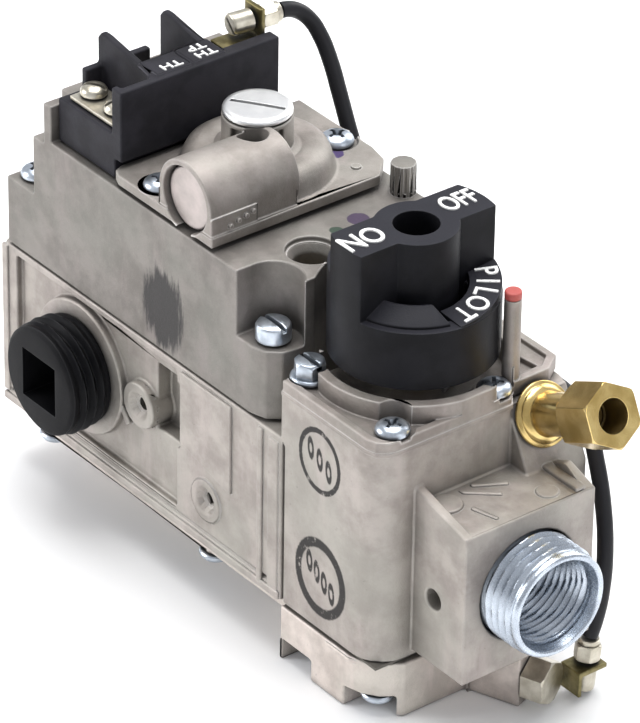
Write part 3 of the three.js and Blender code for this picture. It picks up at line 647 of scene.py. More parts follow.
def ring_stamps(finish):
    """Two plain inspection rings with ovals in them, stamped in black ink on the control block."""
    wobble = (finish.noise(0.5, 3, 0.7) - 0.5) * 0.5
    total = None
    for x, z, radius, line, ovals in STAMPS:
        from_x = (finish.drawn("X") - x) * 1.12
        from_z = finish.drawn("Z") - z
        reach = (from_x * from_x + from_z * from_z) ** 0.5
        ring = 1 - finish.fade((reach - radius + wobble * 0.7).size(), line * 0.7, line * 1.1)
        for dx, dz in ovals:
            tall = from_z - dz + (from_x - dx) * 0.5
            wide = (from_x - dx) * 1.5
            loop = ((tall * tall * 0.45 + wide * wide) ** 0.5 - 1.1).size() + wobble * 0.5
            ring = ring.larger(1 - finish.fade(loop, 0.3, 0.62))
        total = ring if total is None else total.larger(ring)
    patchy = finish.fade(finish.noise(1.6, 4, 0.6, shift=2.2), 0.26, 0.42)
    near = finish.fade(0 - finish.facing("Y"), 0.8, 0.95)
    return total * patchy * near * 0.96, (0.012, 0.01, 0.01)


casting = from_frame("main_body")
casting = carve(
    casting,
    block(2.2, 84.5, -1, 0.7, 14.9, 15.6),
    block(86.6, 87.3, -1, 1.1, 12, 46.5),
    rod((120.2, 7.0, 27.8), (120.2, 12.0, 27.8), 2.05),
    rod((43.8, -0.9, 32.8), (43.8, 0.9, 32.8), 3.0, 48, 1.7),
    rod((64.5, -0.9, 22.7), (64.5, 0.9, 22.7), 3.0, 48, 1.7),
    rod((118.0, 13.2, 44.2), (118.0, 13.2, 47.0), 2.3),
)
soften(casting, 0.45, 3)
beads = [
    outline([(115.6, 17.0), (117.0, 17.0), (121.6, 22.4), (120.4, 23.2)], 0.55, 44.8),
    outline([(115.2, 20.0), (116.2, 19.6), (119.6, 25.6), (118.4, 26.2)], 0.55, 44.8),
    outline([(121.6, 15.0), (126.9, 16.6), (126.9, 17.4), (121.2, 16.0)], 0.45, 44.8),
    upright(117.9, 12.6, 44.6, 45.5, 3.0, 48),
    upright(125.2, 29.6, 44.6, 45.3, 2.2, 48),
    outline([(115, 33.6), (128.4, 33.6), (128.4, 35.9), (115, 35.9)], 1.1, 44.6),
    block(0.2, 86.3, -0.45, 0.4, 12.6, 14.3),
    block(0.2, 2.0, -0.45, 0.4, 14.8, 47.2),
    block(79.8, 81.2, -0.5, 0.4, 13.6, 46.9),
    block(82.8, 85.8, -0.35, 0.4, 13.6, 46.2),
    outline([(56.6, 46.8), (56.6, 31.4), (71.9, 27.8), (71.9, 46.8)], 1.0, -0.55, "Y"),
    outline([(36.4, 30.2), (37.4, 30.8), (40.6, 27.2), (39.4, 26.0)], 1.8, -0.1, "Y"),
]
for bead in beads:
    soften(bead, 0.35, 3)
casting = gather(casting, *beads)
# The brightness factor 1.28 paints this casting lighter: painted light.
fit(casting, "body_casting", ["main_body"], "die_cast_body",
    cast_metal("body_skin", 0.004, [ring_stamps], 1.28))

# ---- Bonnet under the knob ----------------------------------------------------------------------
# A thin die-cast plate screwed on the control block: a lipped rim, a recessed deck, a round collar
# round the knob and an index post whose tip is painted red.
KNOB_X, KNOB_Y = 96.7, 21.5
BONNET_SCREWS = [(88.6, 4.6), (111.2, 5.4), (111.4, 28.2)]
POST_AT = (110.2, 32.9)
rim = [(87.1, -0.4), (111.2, -0.4), (113.2, 0.2), (114.6, 1.7), (115.0, 3.6), (115.0, 29.2),
       (112.2, 31.5), (112.2, 40.2), (109.4, 44.2), (87.1, 44.2)]
deck = [(88.7, 1.2), (111.0, 1.2), (112.6, 1.9), (113.4, 3.8), (113.4, 28.8), (110.6, 31.2),
        (110.6, 39.6), (108.4, 42.6), (88.7, 42.6)]
bonnet = outline(rim, 3.0, 57.3)
bonnet = carve(bonnet, outline(deck, 3.0, 59.4))
lower_lip = [(87.1, -0.75), (111.3, -0.75), (113.5, -0.1), (114.95, 1.5), (115.35, 3.5), (115.35, 29.4),
             (112.2, 31.9), (112.2, 40.2), (109.4, 44.2), (87.1, 44.2)]
bonnet = weld(bonnet, outline(lower_lip, 1.0, 57.3))
collar = upright(KNOB_X, KNOB_Y, 57.8, 63.2, 18.6, 128)
combine(collar, block(87.1, 115, 0.4, 43.4, 50, 70), "INTERSECT")
bonnet = weld(bonnet, collar)
bonnet = carve(
    bonnet,
    upright(KNOB_X, KNOB_Y, 58.4, 70, 16.4, 128),
    upright(KNOB_X, KNOB_Y, 56, 59, 5.4),
    outline([(100.8, 38.8), (109.2, 39.9), (109.0, 34.6), (106.4, 36.0)], 4, 58.2),
    *[upright(x, y, 59.4, 70, 3.9) for x, y in BONNET_SCREWS],
    upright(109.9, 6.7, 59.4, 70, 3.1),
    *[upright(x, y, 56, 70, 2.2, 24) for x, y in BONNET_SCREWS],
)
soften(bonnet, 0.28, 3)
post = soften(upright(*POST_AT, 58.6, 76.6, 1.6, 40), 0.15)
bonnet = gather(bonnet, post)
# The brightness factor 1.1 paints the bonnet a little lighter: painted light.
coat(bonnet, cast_metal("bonnet_skin", 0.008, painted_light_level=1.1))
red_tip = soften(upright(*POST_AT, 76.6, 78.2, 1.6, 40), 0.35, 3)
paint = Finish("red_paint_finish")
paint_cloud = paint.noise(0.8, 3)
paint.feed("Base Color", paint.blend(paint_cloud, (0.38, 0.05, 0.045), (0.52, 0.12, 0.10)))
paint.feed("Roughness", 0.4 + paint_cloud * 0.2)
bonnet = gather(bonnet, coat(red_tip, paint.material))
fit(bonnet, "bonnet_casting", ["control_bonnet"], "die_cast_body")

# ---- Upper casting ------------------------------------------------------------------------------
# The die-cast top half: stepped down at the inlet end to two screw ledges, scooped out round the
# knob, with a screw pocket in its near corner and a short staking post at the back.
LEDGE = 62.4
POCKET_X, POCKET_Y, POCKET_RADIUS = 78.6, 3.9, 5.7
BLEED_HOLE = (75.1, 15.2)
STAKING_POST = (68.6, 41.2)


def inspection_marks(finish):
    """A worn dark smudge on the near face and two paint dots on the top face."""
    streak = finish.noise(2.2, 5, 0.7, stretch=(1.6, 1, 0.22), shift=4.4)
    across = (finish.drawn("X") - 51.2) / 7.2
    up = (finish.drawn("Z") - 57.4) / 9.2
    reach = (across * across + up * up) ** 0.5 + (streak - 0.5) * 1.3
    near = finish.fade(0 - finish.facing("Y"), 0.8, 0.95)
    return (1 - finish.fade(reach, 0.7, 1.02)) * near * 0.93, (0.034, 0.032, 0.032)


def paint_dot(x, y, radius, colour):
    def mark(finish):
        across = finish.drawn("X") - x
        back = finish.drawn("Y") - y
        reach = (across * across + back * back) ** 0.5 + (finish.noise(1.2) - 0.5) * 0.5
        top = finish.fade(finish.facing("Z"), 0.8, 0.95)
        return (1 - finish.fade(reach, radius - 0.15, radius + 0.1)) * top * 0.93, colour
    return mark


pocket_wall = [(POCKET_X - POCKET_RADIUS * math.cos(turn * math.pi / 32),
                POCKET_Y + POCKET_RADIUS * math.sin(turn * math.pi / 32)) for turn in range(33)]
upper = outline([(1.9, 0), (77.5, 0), (80.6, 0.9), (82.6, 3.2), (83, 6), (83, 38), (76, 43.2), (1.9, 43.2)],
                27.7, 48.2)
upper = weld(upper, block(13.9, 16.2, 0, 6.6, 74.9, 83.4), block(10.4, 16.2, 6.0, 43.2, 74.9, 82.6))
upper = carve(
    upper,
    block(0, 10.4, -1, 45, LEDGE, 90),
    block(0, 13.9, -1, 6.6, 74.8, 90),
    outline([(POCKET_X - POCKET_RADIUS, -5), *pocket_wall, (POCKET_X + POCKET_RADIUS, -5)], 30, LEDGE),
    upright(KNOB_X, KNOB_Y, 40, 90, 17.9, 128),
    upright(*BLEED_HOLE, 74.9, 77, 4.8, 64),
    upright(*BLEED_HOLE, 73.3, 74.95, 3.4, 64, 4.5),
    upright(*BLEED_HOLE, 58, 90, 3.45, 96),
    upright(49.5, 22.4, 68, 90, 12.5, 96),
    upright(58, 22, 47, 60, 8.5),
    upright(49.5, 22.4, 58, 70, 2, 32),
    block(20, 36, 12, 32, 47, 66),
)
soften(upper, 0.35, 3)
staking = upright(*STAKING_POST, 75.4, 82.1, 2.4, 48)
staking = carve(staking, *[upright(STAKING_POST[0] + 2.75 * math.cos(turn * math.pi / 6),
                                   STAKING_POST[1] + 2.75 * math.sin(turn * math.pi / 6),
                                   76.6, 83, 0.45, 16)
                           for turn in range(12)])
soften(staking, 0.2)
upper = gather(upper, staking)
# The brightness factor 0.77 paints the upper casting darker: painted shade.
fit(upper, "upper_body", ["upper_casting"], "die_cast_upper", cast_metal("upper_skin", 0, [
    inspection_marks, paint_dot(72.4, 22.9, 1.35, (0.022, 0.05, 0.03)),
    paint_dot(71.5, 28.6, 2.1, (0.05, 0.028, 0.07))], 0.77))

# ---- Casting screws -----------------------------------------------------------------------------
# Zinc-plated steel screws that clamp the castings: cross-recessed pan heads, one hexagon head with
# a washer face, and one tall slotted head down in the corner pocket.


def plated_steel(name, dark=(0.42, 0.47, 0.53), light=(0.68, 0.74, 0.82), rough=0.24, patch=2.2):
    finish = Finish(name)
    cloud = finish.noise(patch, 5, 0.55)
    grain = finish.noise(0.3, 3)
    # Painted shade: hollows darkened to near black in the base colour by ambient occlusion.
    hollow_shade = finish.hollows(1.6)
    plate = finish.blend(finish.fade(cloud, 0.25, 0.75), dark, light)
    finish.feed("Base Color", finish.blend(hollow_shade * 0.85, plate, (0.04, 0.044, 0.05)))
    finish.feed("Roughness", rough + grain * 0.14 + hollow_shade * 0.2)
    finish.feed("Metallic", 0.95 - hollow_shade * 0.3)
    finish.bump(grain + cloud * 0.3, 0.02)
    return finish.material


def copy_to(master, start, direction=(0, 0, 1), spin=0):
    """A copy of a piece made at the drawing's zero point, stood at a place and pointed along a line."""
    piece = bpy.data.objects.new(master.name, master.data.copy())
    bpy.context.collection.objects.link(piece)
    piece.matrix_world = (Matrix.Translation(at(*start))
                          @ Vector(direction).to_track_quat("Z", "Y").to_matrix().to_4x4()
                          @ Matrix.Rotation(math.radians(spin), 4, "Z") @ Matrix.Translation(-origin))
    activate(piece)
    settle()
    return piece


def pan_head(shank_length):
    screw = turned((0, 0, 0), (0, 0, 1), [
        (0, -shank_length), (1.5, -shank_length), (1.75, -shank_length + 0.4), (1.75, 0), (3.0, 0),
        (3.2, 0.25), (3.2, 0.6), (3.05, 1.0), (2.7, 1.42), (2.1, 1.75), (1.3, 1.93), (0.6, 1.98), (0, 2.0)], 48)
    screw = carve(screw, block(-1.75, 1.75, -0.36, 0.36, 0.9, 3), block(-0.36, 0.36, -1.75, 1.75, 0.9, 3),
                  upright(0, 0, 0.6, 2.2, 0.5, 24, 1.0))
    return even(screw, 32)


BONNET_SEAT, LEDGE_SEAT, COVER_SEAT = 59.7, 62.7, 78.5
COVER_SCREWS = [(44.6, 4.2), (50.8, 39.8)]
zinc = plated_steel("zinc_plate_finish")
pan_long, pan_short = pan_head(20), pan_head(8.5)
SCREWS = [
    ("bonnet_pan_screw_2", "bonnet_screw_2", (*BONNET_SCREWS[1], BONNET_SEAT), 1, 20),
    ("bonnet_pan_screw_3", "bonnet_screw_3", (*BONNET_SCREWS[2], BONNET_SEAT), 1, 55),
    ("body_pan_screw_2", "body_screw_2", (5.6, 4.4, LEDGE_SEAT), 1, 10),
    ("body_pan_screw_3", "body_screw_3", (5.6, 39.6, LEDGE_SEAT), 1, 70),
    ("cover_pan_screw_1", "cover_screw_1", (*COVER_SCREWS[0], COVER_SEAT), 1, 35),
    ("cover_pan_screw_2", "cover_screw_2", (*COVER_SCREWS[1], COVER_SEAT), 1, 5),
]
for number, (x, y) in enumerate([(91.5, 4.6), (109.8, 4.6), (91.5, 39.4), (109.8, 39.4)], 1):
    SCREWS.append((f"bottom_pan_screw_{number}", f"bottom_screw_{number}", (x, y, 4.1), -1, 25 * number))
for number, (x, y) in enumerate([(61, 4.8), (10, 4.8), (61, 39.2), (10, 39.2)], 1):
    SCREWS.append((f"rear_pan_screw_{number}", f"rear_screw_{number}", (x, y, 8.3), -1, 40 * number))
for name, node, place, way, spin in SCREWS:
    master = pan_long if node.startswith(("body", "bottom")) else pan_short
    fit(copy_to(master, place, (0, 0, way), spin), name, [node], "zinc_screws", zinc)
bpy.data.objects.remove(pan_long)
bpy.data.objects.remove(pan_short)

washer = turned((*BONNET_SCREWS[0], BONNET_SEAT), (0, 0, 1), [
    (0, -9), (1.75, -9), (1.75, 0), (3.35, 0), (3.6, 0.2), (3.6, 0.6), (3.3, 0.95), (0, 0.95)])
hexagon = upright(*BONNET_SCREWS[0], 60.3, 63.7, 3.1, 6)
combine(hexagon, turned((*BONNET_SCREWS[0], 60.0), (0, 0, 1), [
    (0, 0), (3.4, 0), (3.4, 2.7), (2.5, 3.6), (0, 3.75)]), "INTERSECT")
hexagon = carve(hexagon, block(84, 93, 4.15, 5.05, 62.6, 65))
fit(gather(soften(washer, 0.1), soften(hexagon, 0.16)), "bonnet_hex_screw", ["bonnet_screw_1"],
    "zinc_screws", zinc)

cheese = turned((77.9, 4.6, LEDGE_SEAT), (0, 0, 1), [
    (0, -20), (1.75, -20), (1.75, 0), (3.1, 0), (3.3, 0.3), (3.3, 2.8), (3.0, 3.3), (2.2, 3.6), (0, 3.7)])
cheese = carve(cheese, block(76.5, 82, 4.15, 5.05, 65.2, 68), block(73, 76.9, 4.15, 5.05, 65.2, 68))
fit(soften(cheese, 0.16, 2, 40), "pocket_screw", ["body_screw_1"], "zinc_screws", zinc)

# ---- Gas knob -----------------------------------------------------------------------------------
# A moulded black knob: a round skirt, a hub with a stem hole, and a grip bar across it. The words
# stand up from the moulding and are rolled with white paint. It is pushed in and turned.
KNOB_BOTTOM, KNOB_DECK, KNOB_TOP = 64.5, 76.2, 89.6
KNOB_RADIUS, HUB_RADIUS = 15.6, 7.8


def moulded(name, dark, light, rough, wear=0.35, shine=0.12, top=1.0):
    """Moulded plastic with a fine spark texture, paler where handling has worn its edges, and with faces turned upward
    painted lighter as painted top light when top is above one.
    """
    finish = Finish(name, specular_ior_level=shine)
    cloud = finish.noise(7, 4, 0.55)
    grain = finish.noise(0.28, 3, 0.6)
    tone = finish.blend(finish.fade(cloud, 0.35, 0.65), dark, light)
    # Painted light: faces turned upward are lifted towards a paler tone by the top factor.
    painted_top_light = finish.fade(finish.facing("Z"), 0.4, 1.0)
    tone = finish.blend(painted_top_light * (1 - 1 / top), tone, tuple(top * 1.5 * channel for channel in light))
    worn = tuple(2.4 * channel + 0.03 for channel in light)
    finish.feed("Base Color", finish.blend(finish.edges(0.35) * wear, tone, worn))
    finish.feed("Roughness", rough + grain * 0.16 - cloud * 0.05)
    finish.bump(grain, 0.035)
    return finish.material


def word(text, centre, reading, up, height, raised=0.35, stretch=1.0):
    """Raised letters: centred at a place, reading one way with their tops the other."""
    bpy.ops.object.select_all(action="DESELECT")
    bpy.ops.object.text_add()
    piece = bpy.context.object
    piece.data.body = text
    piece.data.align_x = piece.data.align_y = "CENTER"
    piece.data.size = height / 0.72 * MM
    piece.data.extrude = raised / 2 * MM
    piece.data.offset = 0.012 * height * MM
    bpy.ops.object.convert(target="MESH")
    piece = bpy.context.object
    reading, up = Vector(reading).normalized(), Vector(up).normalized()
    piece.matrix_world = Matrix.Translation(at(*centre)) @ Matrix(
        (reading, up, reading.cross(up))).transposed().to_4x4() @ Matrix.Diagonal((stretch, 1, 1, 1))
    activate(piece)
    settle()
    return piece


def white_ink(name):
    finish = Finish(name)
    chips = finish.noise(0.6, 4, 0.7)
    finish.feed("Base Color", finish.blend(finish.fade(chips, 0.3, 0.42),
                                           (0.30, 0.29, 0.29), (0.86, 0.86, 0.84)))
    finish.feed("Roughness", 0.42 + chips * 0.2)
    return finish.material


def round_knob(x0, x1, y0, y1, z0, z1, outer=17, inner=None):
    """A cutter: the part of a ring round the knob's axis that lies inside a block."""
    piece = block(KNOB_X + x0, KNOB_X + x1, KNOB_Y + y0, KNOB_Y + y1, z0, z1)
    if outer < 17:
        combine(piece, upright(KNOB_X, KNOB_Y, z0 - 1, z1 + 1, outer, 96), "INTERSECT")
    if inner:
        piece = carve(piece, upright(KNOB_X, KNOB_Y, z0 - 1, z1 + 1, inner, 96))
    return piece


knob = upright(KNOB_X, KNOB_Y, KNOB_BOTTOM, KNOB_TOP, KNOB_RADIUS, 96)
knob = carve(
    knob,
    round_knob(3.6, 18, -18, 18, KNOB_DECK, KNOB_TOP + 1, inner=HUB_RADIUS),
    round_knob(-18, -6.2, -18, 18, KNOB_TOP - 8, KNOB_TOP + 1, inner=HUB_RADIUS),
    round_knob(3.6, 18, -9.9, 8.4, 71.5, KNOB_DECK + 1, outer=12.4, inner=HUB_RADIUS),
    round_knob(-14, 14, -14, 14, KNOB_BOTTOM - 1, KNOB_BOTTOM + 5.5, outer=12.6, inner=5.2),
    upright(KNOB_X, KNOB_Y, KNOB_BOTTOM - 1, KNOB_TOP - 9, 2.9, 48),
    upright(KNOB_X, KNOB_Y, KNOB_TOP - 7, KNOB_TOP + 1, 4.2, 64),
)
soften(knob, 0.25, 2, 35)
lens = turned((KNOB_X, KNOB_Y, 0), (0, 0, 1), [
    (9.4, 71.0), (14.2, 71.0), (14.2, 76.6), (13.9, 76.8), (10.6, 78.9), (10.2, 78.9), (9.4, 78.2),
    (9.4, 71.0)], 96)
combine(lens, outline([(KNOB_X + 1.9, KNOB_Y - 16), (KNOB_X + 16, KNOB_Y - 16), (KNOB_X + 16, KNOB_Y - 2.6),
                       (KNOB_X + 8.0, KNOB_Y - 4.2), (KNOB_X + 3.7, KNOB_Y - 9.0)], 12, 70), "INTERSECT")
soften(lens, 0.14, 2, 40)
word_plane = Vector((0.063, -0.097, 1)).normalized()  # the words' pad rises a little towards OFF
word_middle = Vector((KNOB_X + 9.3, KNOB_Y + 6.2, 77.6))
index_pad = turned((KNOB_X, KNOB_Y, 0), (0, 0, 1), [
    (9.6, 73.0), (15.45, 73.0), (15.45, 82), (9.6, 82), (9.6, 73.0)], 96)
combine(index_pad, block(KNOB_X + 3.8, KNOB_X + 17, KNOB_Y - 1.9, KNOB_Y + 17, 60, 90), "INTERSECT")
activate(index_pad)
bpy.ops.object.mode_set(mode="EDIT")
bpy.ops.mesh.select_all(action="SELECT")
bpy.ops.mesh.bisect(plane_co=at(*word_middle), plane_no=word_plane, use_fill=True, clear_outer=True)
bpy.ops.object.mode_set(mode="OBJECT")
soften(index_pad, 0.2, 2, 40)
# top=2.3 paints the knob's upward faces lighter: painted top light.
knob = coat(gather(knob, lens, index_pad),
            moulded("knob_plastic_finish", (0.006, 0.006, 0.0075), (0.010, 0.010, 0.0125), 0.40, top=2.3))
lettering = [
    word("ON", (KNOB_X - 1.3, KNOB_Y - 11.3, KNOB_TOP + 0.12), (0, -1, 0), (1, 0, 0), 5.0, 0.3, 0.8),
    word("OFF", (KNOB_X - 1.3, KNOB_Y + 10.6, KNOB_TOP + 0.12), (0, 1, 0), (-1, 0, 0), 4.7, 0.3, 0.66),
]
for letter, turn in zip("PILOT", (63, 49.5, 36, 20, 3.5)):
    outward = Vector((math.cos(math.radians(turn)), math.sin(math.radians(turn)), 0))
    spot = Vector((KNOB_X, KNOB_Y, 0)) + outward * 12.7
    spot.z = word_middle.z + 0.1 - word_plane.xy.dot(spot.xy - word_middle.xy) / word_plane.z
    tops = (outward - word_plane * outward.dot(word_plane)).normalized()
    lettering.append(word(letter, spot, tops.cross(word_plane), tops, 4.3, 0.3, 0.82))
letter_ink = white_ink("letter_paint_finish")
knob = gather(knob, *[coat(letter, letter_ink) for letter in lettering])
fit(knob, "knob_moulding", ["gas_knob"], "black_knob", body="knob")

# ---- Outlet bushing -----------------------------------------------------------------------------
# A reducing bushing turned from steel bar and zinc plated, with a pipe thread cut outside and
# inside. It is screwed into the outlet neck, and the gas pipe screws into it.
PORT = (128.9, 22.9, 29.9)
OUTSIDE_PITCH, INSIDE_PITCH = 1.814, 1.411


def thread(near, pitch, depth, low, high):
    """Extra radius for a screw thread on the wall at one radius, between two distances."""
    def ridge(radius, distance, angle):
        if abs(radius - near) > 0.02 or not low <= distance <= high:
            return 0
        phase = (distance / pitch - angle / (2 * math.pi)) % 1
        run_out = min(1, (distance - low) / pitch, (high - distance) / pitch)
        return depth * run_out * (abs(2 * phase - 1) * 2 - 1)
    return ridge


def rows(radius, start, end, spacing):
    count = round(abs(end - start) / spacing)
    return [(radius, start + (end - start) * index / count) for index in range(count + 1)]


outside = thread(10.3, OUTSIDE_PITCH, 0.46, -2.0, 7.9)
inside = thread(8.55, INSIDE_PITCH, 0.34, -10.6, 7.0)
sleeve = turned(PORT, (1, 0, 0), [
    (8.55, -11.5), (10.0, -11.5), *rows(10.3, -2.2, 8.05, 0.2), (10.2, 8.45), (9.95, 8.72), (9.6, 8.8),
    (9.25, 8.72), (9.0, 8.4), (8.85, 7.6), *rows(8.55, 7.2, -10.8, 0.18), (8.55, -11.5)], 96,
    lambda *point: outside(*point) + inside(*point))
fit(even(sleeve, 50), "outlet_thread_bushing", ["outlet_bushing"], "zinc_bushing",
    plated_steel("bushing_plate_finish", (0.46, 0.51, 0.58), (0.64, 0.70, 0.78), 0.2, 6))

# ---- Inlet side plug ----------------------------------------------------------------------------
# A pipe plug moulded in black plastic, with a coarse thread and a square socket for a key. It is
# screwed into the side inlet and sits partly in, so its last threads stand out of the boss.
plug_thread = thread(10.85, 2.1, 0.6, 9.2, 16.6)
plug = turned((24.8, 8.1, 31.8), (0, -1, 0), [
    (0, 0.6), (9.6, 0.6), (9.6, 8.8), (10.75, 8.9), *rows(10.85, 9.2, 16.7, 0.2), (10.8, 17.0), (9.9, 17.6),
    (0, 17.6)], 96, plug_thread)
plug = carve(plug, block(19.6, 30.0, -12, -0.9, 26.6, 37.0))
plug = even(plug, 40)
fit(plug, "side_inlet_plug", ["inlet_plug"], "black_plug",
    moulded("plug_plastic_finish", (0.004, 0.004, 0.005), (0.008, 0.008, 0.009), 0.42, 0.7, 0.08))

# ---- Pilot fitting and its nut ------------------------------------------------------------------
# A compression fitting turned from brass, screwed into the tilted boss of the control block, and
# the brass hexagon nut that clamps the pilot tube on it.
TILT = math.radians(26)
PILOT = (115.0, 36.2, 53.6)
PILOT_AIM = (math.cos(TILT), 0, math.sin(TILT))


def along_pilot(distance):
    return tuple(start + distance * way for start, way in zip(PILOT, PILOT_AIM))


def brass_finish(name, dark=(0.60, 0.42, 0.14), light=(0.90, 0.68, 0.29), rough=0.2):
    finish = Finish(name)
    stain = finish.noise(5, 4, 0.5)
    grain = finish.noise(0.3, 3)
    # Painted shade: hollows darkened to near black in the base colour by ambient occlusion.
    hollow_shade = finish.hollows(6)
    metal = finish.blend(finish.fade(stain, 0.3, 0.7), dark, light)
    finish.feed("Base Color", finish.blend(hollow_shade * 0.95, metal, (0.035, 0.022, 0.006)))
    finish.feed("Roughness", rough + grain * 0.08 + hollow_shade * 0.2)
    finish.feed("Metallic", 0.97 - hollow_shade * 0.3)
    finish.bump(grain * 0.3 + stain * 0.5, 0.012)
    return finish.material


brass = brass_finish("pilot_brass_finish")
fitting = turned(PILOT, PILOT_AIM, [
    (0, -6), (3.3, -6), (3.3, 0.3), (5.6, 0.3), (5.95, 0.45), (6.1, 0.8), (6.0, 1.15), (5.5, 1.35),
    (5.25, 1.5), (5.3, 1.75), (5.1, 2.1), (4.7, 2.35), (4.2, 2.6), (4.0, 3.2), (3.9, 12), (2.4, 12),
    (2.4, 15.2), (0, 15.2)], 72)
fitting = carve(fitting, rod(along_pilot(3), along_pilot(17), 1.5))
fit(soften(fitting, 0.1, 2, 50), "pilot_compression_fitting", ["pilot_fitting"], "pilot_brass", brass)

nut = rod(along_pilot(12.3), along_pilot(21.6), 6.4, 6)
combine(nut, turned(along_pilot(12.3), PILOT_AIM, [
    (0, 0), (5.6, 0), (6.45, 0.7), (6.45, 8.9), (6.0, 9.3), (0, 9.3)], 96), "INTERSECT")
nut = carve(nut, rod(along_pilot(11), along_pilot(16.6), 2.8), rod(along_pilot(15), along_pilot(23), 3.2))
fit(soften(nut, 0.14, 2, 25), "pilot_hexagon_nut", ["pilot_tube_nut"], "pilot_brass", brass)

# ---- Bottom cover -------------------------------------------------------------------------------
# The die-cast cover under both halves of the valve, with the magnet unit's housing beside the
# neck. It is clamped over a fibre gasket by eight screws from below.
cover = soften(from_frame("bottom_cover"), 0.45, 3)
lip = soften(outline([(100.2, -0.3), (107.2, -0.3), (112.9, 3.6), (114.9, 7.4), (113.7, 8.2), (110.9, 4.6),
                      (106.4, 1.2), (100.2, 0.8)], 0.9, 10.4), 0.3, 3)
# The brightness factor 2.0 paints the cover much lighter: painted light.
fit(gather(cover, lip), "bottom_cover_casting", ["bottom_cover"], "die_cast_body",
    cast_metal("cover_skin", 0.008, painted_light_level=2.0))

# ---- Regulator cover ----------------------------------------------------------------------------
# The die-cast cap over the pressure regulator: a square flange, a round diaphragm dish, the spring
# tower, and a cross boss closed by a pressed disc.
REG_X, REG_Y = 49.5, 22.4
SIDE_X, SIDE_Z = 57.2, 83.0
TAP = (55.9, 16.4)
flange = outline([(37.4, 0), (65.6, 0), (65.6, 38.2), (61.2, 42.6), (56.6, 43.6), (34.6, 43.6), (34.6, 2.6),
                  (35.4, 0.8)], 2.1, 76.8)
dish = turned((REG_X, REG_Y, 0), (0, 0, 1), [
    (0, 77.2), (15.3, 77.2), (15.1, 78.7), (14.4, 79.2), (13.9, 80.2), (13.7, 81.6), (13.1, 82.8),
    (12.0, 83.6), (10.6, 83.9), (9.0, 83.8), (8.0, 83.5), (7.2, 84.0), (0, 84.4)], 128)
tower = upright(REG_X, REG_Y, 80, 90.1, 6.6, 96)
for low, high in ((-84, -57), (-43, 8)):
    wedge = [(REG_X, REG_Y)] + [(REG_X + 12 * math.cos(math.radians(turn)),
                                 REG_Y + 12 * math.sin(math.radians(turn)))
                                for turn in (low, (low + high) / 2, high)]
    window = combine(upright(REG_X, REG_Y, 84.6, 89.2, 8, 64), outline(wedge, 8, 84), "INTERSECT")
    tower = carve(tower, carve(window, upright(REG_X, REG_Y, 83.8, 91, 5.5, 64)))
cross = weld(rod((SIDE_X, 0.2, SIDE_Z), (SIDE_X, 20.4, SIDE_Z), 7.75, 96),
             block(49.5, 64.9, 0.4, 19.6, 77.4, 83.0))
pedestal = block(49.6, 65.2, 0.2, 10.5, 77, 82.5)
regulator = weld(flange, dish, cross, pedestal, tower)
regulator = carve(
    regulator,
    turned((REG_X, REG_Y, 0), (0, 0, 1), [
        (0, 76), (11.4, 76), (11.4, 80.2), (5.0, 80.2), (5.0, 91), (0, 91)]),
    rod((SIDE_X, -1, SIDE_Z), (SIDE_X, 4, SIDE_Z), 6.5, 96),
    upright(*TAP, 85.6, 95, 2.9, 64),
    upright(*TAP, 81, 95, 1.6, 32),
    *[upright(x, y, 78.2, 90, 3.9) for x, y in COVER_SCREWS],
    *[upright(x, y, 76, 90, 2.1, 32) for x, y in COVER_SCREWS],
    block(20, 80, -5, 50, 60, 76.8),
    block(20, 36.5, -5, 50, 79.9, 100),
)
soften(regulator, 0.3, 3)
pips = [soften(rod((65.0, y, z), (65.75, y, z), 0.5, 20), 0.12)
        for y, z in ((4.4, 80.0), (6.2, 80.6), (7.9, 81.0), (9.5, 81.4))]
rivet = soften(upright(60.7, 36.5, 78.7, 79.3, 1.0, 32), 0.2)
regulator = gather(regulator, rivet, *pips)
fit(regulator, "regulator_cover_casting", ["regulator_cover"], "die_cast_upper",
    cast_metal("regulator_skin", 0.004, [paint_dot(54.3, 36.3, 1.9, (0.035, 0.012, 0.10))]))

# ---- Regulator cap, side disc and tap screw -----------------------------------------------------
# A slotted aluminium cap on the spring tower, a pressed disc closing the cross boss, and the small
# screw of the pressure tap in its pocket.
cap = turned((REG_X, REG_Y, 0), (0, 0, 1), [
    (0, 85.8), (4.7, 85.8), (4.7, 90.35), (6.2, 90.35), (6.5, 90.6), (6.5, 91.1), (6.3, 91.4), (5.8, 91.6),
    (5.2, 91.72), (0, 91.8)], 96)
slot = [(REG_X + 5.2 * math.cos(turn) + side * math.sin(turn),
         REG_Y + 5.2 * math.sin(turn) - side * math.cos(turn))
        for turn, side in ((0.61, 0.45), (0.61, -0.45), (3.75, 0.45), (3.75, -0.45))]
cap = carve(cap, outline(slot, 2, 91.2))
fit(soften(cap, 0.08, 2, 50), "regulator_slotted_cap", ["regulator_cap"], "bright_aluminium",
    plated_steel("bright_cap_finish", (0.80, 0.80, 0.80), (0.93, 0.93, 0.92), 0.3, 5))
disc = turned((SIDE_X, 3.6, SIDE_Z), (0, -1, 0), [
    (0, 0), (6.1, 0), (6.1, 1.9), (5.9, 2.15), (5.5, 2.25), (0, 2.2)], 96)
fit(even(disc, 50), "side_boss_disc", ["side_bore_plug"], "bright_aluminium",
    plated_steel("disc_finish", (0.40, 0.36, 0.34), (0.52, 0.46, 0.44), 0.42, 4))
tap = turned((*TAP, 85.9), (0, 0, 1), [
    (0, -4), (1.4, -4), (1.4, 0), (2.1, 0), (2.3, 0.2), (2.25, 0.9), (1.8, 1.5), (1.0, 1.85), (0, 1.95)], 48)
tap = carve(tap, block(53, 59, 16.05, 16.75, 87.2, 89))
fit(soften(tap, 0.06, 2, 50), "pressure_tap_screw", ["regulator_tap_screw"], "turned_steel",
    plated_steel("turned_steel_finish", (0.40, 0.40, 0.41), (0.62, 0.62, 0.62), 0.28))

